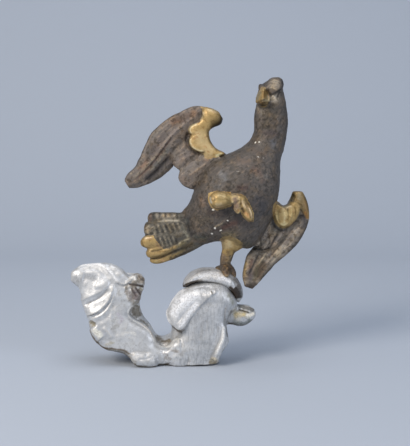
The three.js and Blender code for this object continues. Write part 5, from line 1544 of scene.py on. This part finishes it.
def grown(label, form, settings):
    """What the tree grows on a form, as one more form of the block."""
    mesh = bpy.data.meshes.new(label)
    mesh.from_pydata(((form.points + TO_FLOOR) * MM).tolist(), [], form.faces)
    # Each tip points down the body, and turns more to the tail the nearer it is to that end.
    lie = np.stack([-0.25 - 0.6 * (1 - form.along), 0 * form.along, -1 + 0 * form.along], -1)
    layer = mesh.attributes.new("lie", "FLOAT_VECTOR", "POINT")
    layer.data.foreach_set("vector", lie.astype(np.float32).ravel())
    surface = bpy.data.objects.new(label, mesh)
    bpy.context.collection.objects.link(surface)
    maker = surface.modifiers.new("tips", "NODES")
    maker.node_group = tip_tree()
    for item in maker.node_group.interface.items_tree:
        if item.in_out == "INPUT" and item.name in settings:
            maker[item.identifier] = settings[item.name]
    depsgraph = bpy.context.evaluated_depsgraph_get()
    made = bpy.data.meshes.new_from_object(surface.evaluated_get(depsgraph))
    surface.modifiers.remove(maker)
    bpy.data.objects.remove(surface)
    faces = [tuple(face.vertices) for face in made.polygons]
    return Form(label, mesh_arrays(made)[0], faces, None)


polychrome = bpy.data.materials.new("aged_polychrome")
bird_forms.append(grown("trunk_tips", bird_forms[0], {**TIP_SIZES, "Seed": TIP_SEED, "Finish": polychrome}))

# Bird, surface: the forms joined in one block, the knife work cut into it, then the paint and gilding,
# with small white marks: painted glints on the neck, breast and legs, and losses that show the white gesso:
# (strength, width, line on the front view).
GLINTS_AND_GESSO_CHIPS = [
    (0.9, 0.9, [(89, 310.5), (91, 313)]), (0.9, 1.0, [(94.5, 312.5), (96.5, 313)]),
    (0.5, 1.2, [(92.5, 293.5), (95.5, 291)]), (0.5, 1.1, [(100.5, 291.5), (102, 289.5)]),
    (0.6, 0.7, [(63.5, 271.5), (69.5, 272)]), (0.6, 1.0, [(120, 344.5), (121, 343.5)]),
    (0.7, 1.4, [(50.5, 203), (53, 202)]), (1.0, 1.7, [(33, 192), (35.5, 192)]),
    (0.9, 1.5, [(28.5, 184), (31.5, 184)]), (0.7, 1.3, [(40.5, 188), (44, 189)]),
    (0.7, 1.9, [(30, 218), (33.5, 217.5)]),
]
GROUND = "#57504a"
GOLD = "#bd9f67"
TAIL_GILT_ENDS = -40  # where the tail's gilding starts to fade to the rump, left of the middle
TAIL_GILT_FADE = 24


def within(seen, outline):
    """1 inside a closed outline on the front view."""
    inside = np.zeros(len(seen), bool)
    x, z = seen.T
    for (ax, az), (bx, bz) in zip(outline, outline[1:] + outline[:1]):
        if az != bz:
            inside ^= ((az > z) != (bz > z)) & (x < ax + (z - az) / (bz - az) * (bx - ax))
    return inside.astype(float)


bird = fused("bird", bird_forms, voxel=1.32)
plumage = Relief(bird, bird_forms)
plumage.smooth(2)
plumage.refresh()
height = np.zeros(len(plumage.points))
for names, ground, gouges, laps, dabs in bird_parts:
    height += worked(plumage.seen, gouges, laps) * plumage.on(*names)
height += drilled(plumage.seen, PUPIL, lip=0.7, radius=2.4, width=0.9, hole=1.3)
plumage.push(height * plumage.front)
plumage.smooth(1, share=0.3)
plumage.refresh()
rough = 0.4 * knife_noise(plumage.points, 8, 21) + 0.22 * knife_noise(plumage.points, 3.6, 22)
gilt = np.max([within(plumage.seen, outline) for outline in gilding], axis=0) * plumage.shown
behind = plumage.on("covert", "shank", "outer_toe", "tail_4", "tail_5") * (1 - plumage.shown)
rump = np.clip((plumage.seen[:, 0] - TAIL_GILT_ENDS) / TAIL_GILT_FADE, 0, 1) * plumage.on("tail")
gilt = np.maximum(gilt * (1 - rump), behind) + plumage.on("beak")
gilt = plumage.blurred(gilt, 1)
plumage.push(rough * (1 - 0.6 * np.clip(gilt, 0, 1)))
plumage.settle("bird")
everywhere = np.ones(len(plumage.points))
paint, dabbed = [(GROUND, everywhere)], []
for names, ground, gouges, laps, dabs in bird_parts:
    zone = plumage.blurred(plumage.on(*names), 2)
    if ground:
        paint.append((ground, zone))
    dabbed += stains_and_painted_light(plumage, dabs, zone)
# Painted shade: a dark wash on faces that turn away from the eye, towards the back.
turned = np.clip(1.15 + 1.5 * plumage.normals[:, 1], 0, 1)
dabbed.append(("#35332f", 0.5 * turned * plumage.front))
glints_and_chips = sum(share * stroke(plumage.seen, line, width, 0.01) for share, width, line in GLINTS_AND_GESSO_CHIPS)
keep(plumage, "paint", washed(plumage, paint + dabbed))
keep(plumage, "gold", washed(plumage, [(GOLD, everywhere)] + dabbed))
keep(plumage, "gilt", np.clip(gilt, 0, 1))
keep(plumage, "glints_and_chips", glints_and_chips * plumage.front)
keep(plumage, "edge", hollows(plumage, times=8, scale=0.5))
keep(plumage, "wide_edge", hollows(plumage, times=50, scale=2.4))


def aged_polychrome(made):
    """Old oil paint over gesso on carved limewood, dull and mottled, with matt gilding over warm bole
    on the coverts, legs, beak and lower tail, rubbed brown on its edges, and darkened in its hollows by dirt
    and painted shade. Its paint and gold layers also hold painted highlights and painted shade."""
    made.use_nodes = True
    tree = made.node_tree
    bsdf = tree.nodes["Principled BSDF"].inputs
    times, plus = {"operation": "MULTIPLY"}, {"operation": "ADD"}
    colours = {"data_type": "RGBA"}
    over = {"data_type": "RGBA", "blend_type": "OVERLAY"}
    span, mix, sum_of, noise = "ShaderNodeMapRange", "ShaderNodeMix", "ShaderNodeMath", "ShaderNodeTexNoise"
    layer = "ShaderNodeAttribute"
    body = node(tree, "ShaderNodeTexCoord", out="Object")
    moved = node(tree, "ShaderNodeMapping", {}, {"Vector": body, "Location": (3, 1, 2)})
    slanted = node(tree, "ShaderNodeMapping", {}, {"Vector": body, "Rotation": (0, -0.85, 0)})
    slanted = node(tree, "ShaderNodeMapping", {}, {"Vector": slanted, "Scale": (1, 1, 0.22)})
    paint = node(tree, layer, {"attribute_name": "paint"}, out="Color")
    gold = node(tree, layer, {"attribute_name": "gold"}, out="Color")
    gilt = node(tree, layer, {"attribute_name": "gilt"}, out="Fac")
    glints_and_chips = node(tree, layer, {"attribute_name": "glints_and_chips"}, out="Fac")
    edge = node(tree, layer, {"attribute_name": "edge"}, out="Fac")
    hollow = node(tree, layer, {"attribute_name": "wide_edge"}, out="Fac")

    # Patterns: clouds 14 mm wide, brush dabs 7 mm, dirt 4.5 mm, flecks 2.2 mm, and slanting strokes
    # 3.2 mm apart.
    cloud = node(tree, noise, {}, {"Vector": moved, "Scale": 1 / (14 * MM), "Detail": 3})
    dab = node(tree, noise, {}, {"Vector": moved, "Scale": 1 / (7 * MM), "Detail": 3, "Distortion": 1.2})
    dirt = node(tree, noise, {}, {"Vector": body, "Scale": 1 / (4.5 * MM), "Detail": 4, "Distortion": 0.6})
    fleck = node(tree, noise, {}, {"Vector": moved, "Scale": 1 / (2.2 * MM), "Detail": 3})
    streak = node(tree, noise, {}, {"Vector": slanted, "Scale": 1 / (3.2 * MM), "Detail": 3})

    for pattern, first, full, most, code in (
            (dab, 0.5, 0.64, 0.8, "#d5d2c9"), (cloud, 0.5, 0.64, 0.55, "#cec0aa"),
            (dirt, 0.5, 0.36, 0.9, "#7e796e"), (streak, 0.54, 0.7, 0.8, "#f4ede6"),
            # Last on this line: wide hollows darkened with dirt and painted shade.
            (edge, 0.15, 0.8, 0.35, "#f6efe4"), (hollow, -0.1, -0.8, 0.8, "#787163")):
        share = node(tree, span, {}, {0: pattern, 1: first, 2: full, 3: 0.0, 4: most})
        paint = node(tree, mix, over, {0: share, 6: paint, 7: linear(code)}, 2)
    for pattern, first, full, most, code in (
            (dab, 0.5, 0.66, 0.6, "#a8a6a0"), (fleck, 0.56, 0.7, 0.4, "#d8d4cc"),
            # Last on this line: the gilding darkened in wide hollows with dirt and painted shade.
            (dirt, 0.47, 0.33, 0.7, "#93897a"), (hollow, 0.0, -0.8, 0.8, "#6e655a")):
        share = node(tree, span, {}, {0: pattern, 1: first, 2: full, 3: 0.0, 4: most})
        gold = node(tree, mix, over, {0: share, 6: gold, 7: linear(code)}, 2)

    ragged = node(tree, span, {}, {0: fleck, 1: 0.3, 2: 0.7, 3: -0.16, 4: 0.16})
    gilded = node(tree, sum_of, plus, {0: gilt, 1: ragged})
    gilded = node(tree, span, {}, {0: gilded, 1: 0.38, 2: 0.62})
    surface = node(tree, mix, colours, {0: gilded, 6: paint, 7: gold}, 2)
    # White gesso losses and painted glints.
    glinted_and_chipped = node(tree, sum_of, plus, {0: glints_and_chips, 1: ragged})
    glinted_and_chipped = node(tree, span, {}, {0: glinted_and_chipped, 1: 0.35, 2: 0.6})
    surface = node(tree, mix, colours, {0: glinted_and_chipped, 6: surface, 7: linear("#e9e4d6")}, 2)
    tree.links.new(surface, bsdf["Base Color"])
    metal = node(tree, sum_of, times, {0: gilded, 1: 0.3})
    tree.links.new(metal, bsdf["Metallic"])
    dull = node(tree, span, {}, {0: dirt, 1: 0.3, 2: 0.7, 3: 0.48, 4: 0.64})
    sheen = node(tree, sum_of, times, {0: gilded, 1: 0.12})
    dull = node(tree, sum_of, {"operation": "SUBTRACT"}, {0: dull, 1: sheen})
    tree.links.new(dull, bsdf["Roughness"])
    relief = node(tree, sum_of, times, {0: fleck, 1: 0.6})
    relief = node(tree, sum_of, plus, {0: relief, 1: dirt})
    bump = node(tree, "ShaderNodeBump", {}, {"Height": relief, "Strength": 0.5, "Distance": 0.6 * MM})
    tree.links.new(bump, bsdf["Normal"])


aged_polychrome(polychrome)
bird.data.materials.append(polychrome)
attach(bird, "root")
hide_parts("bird")
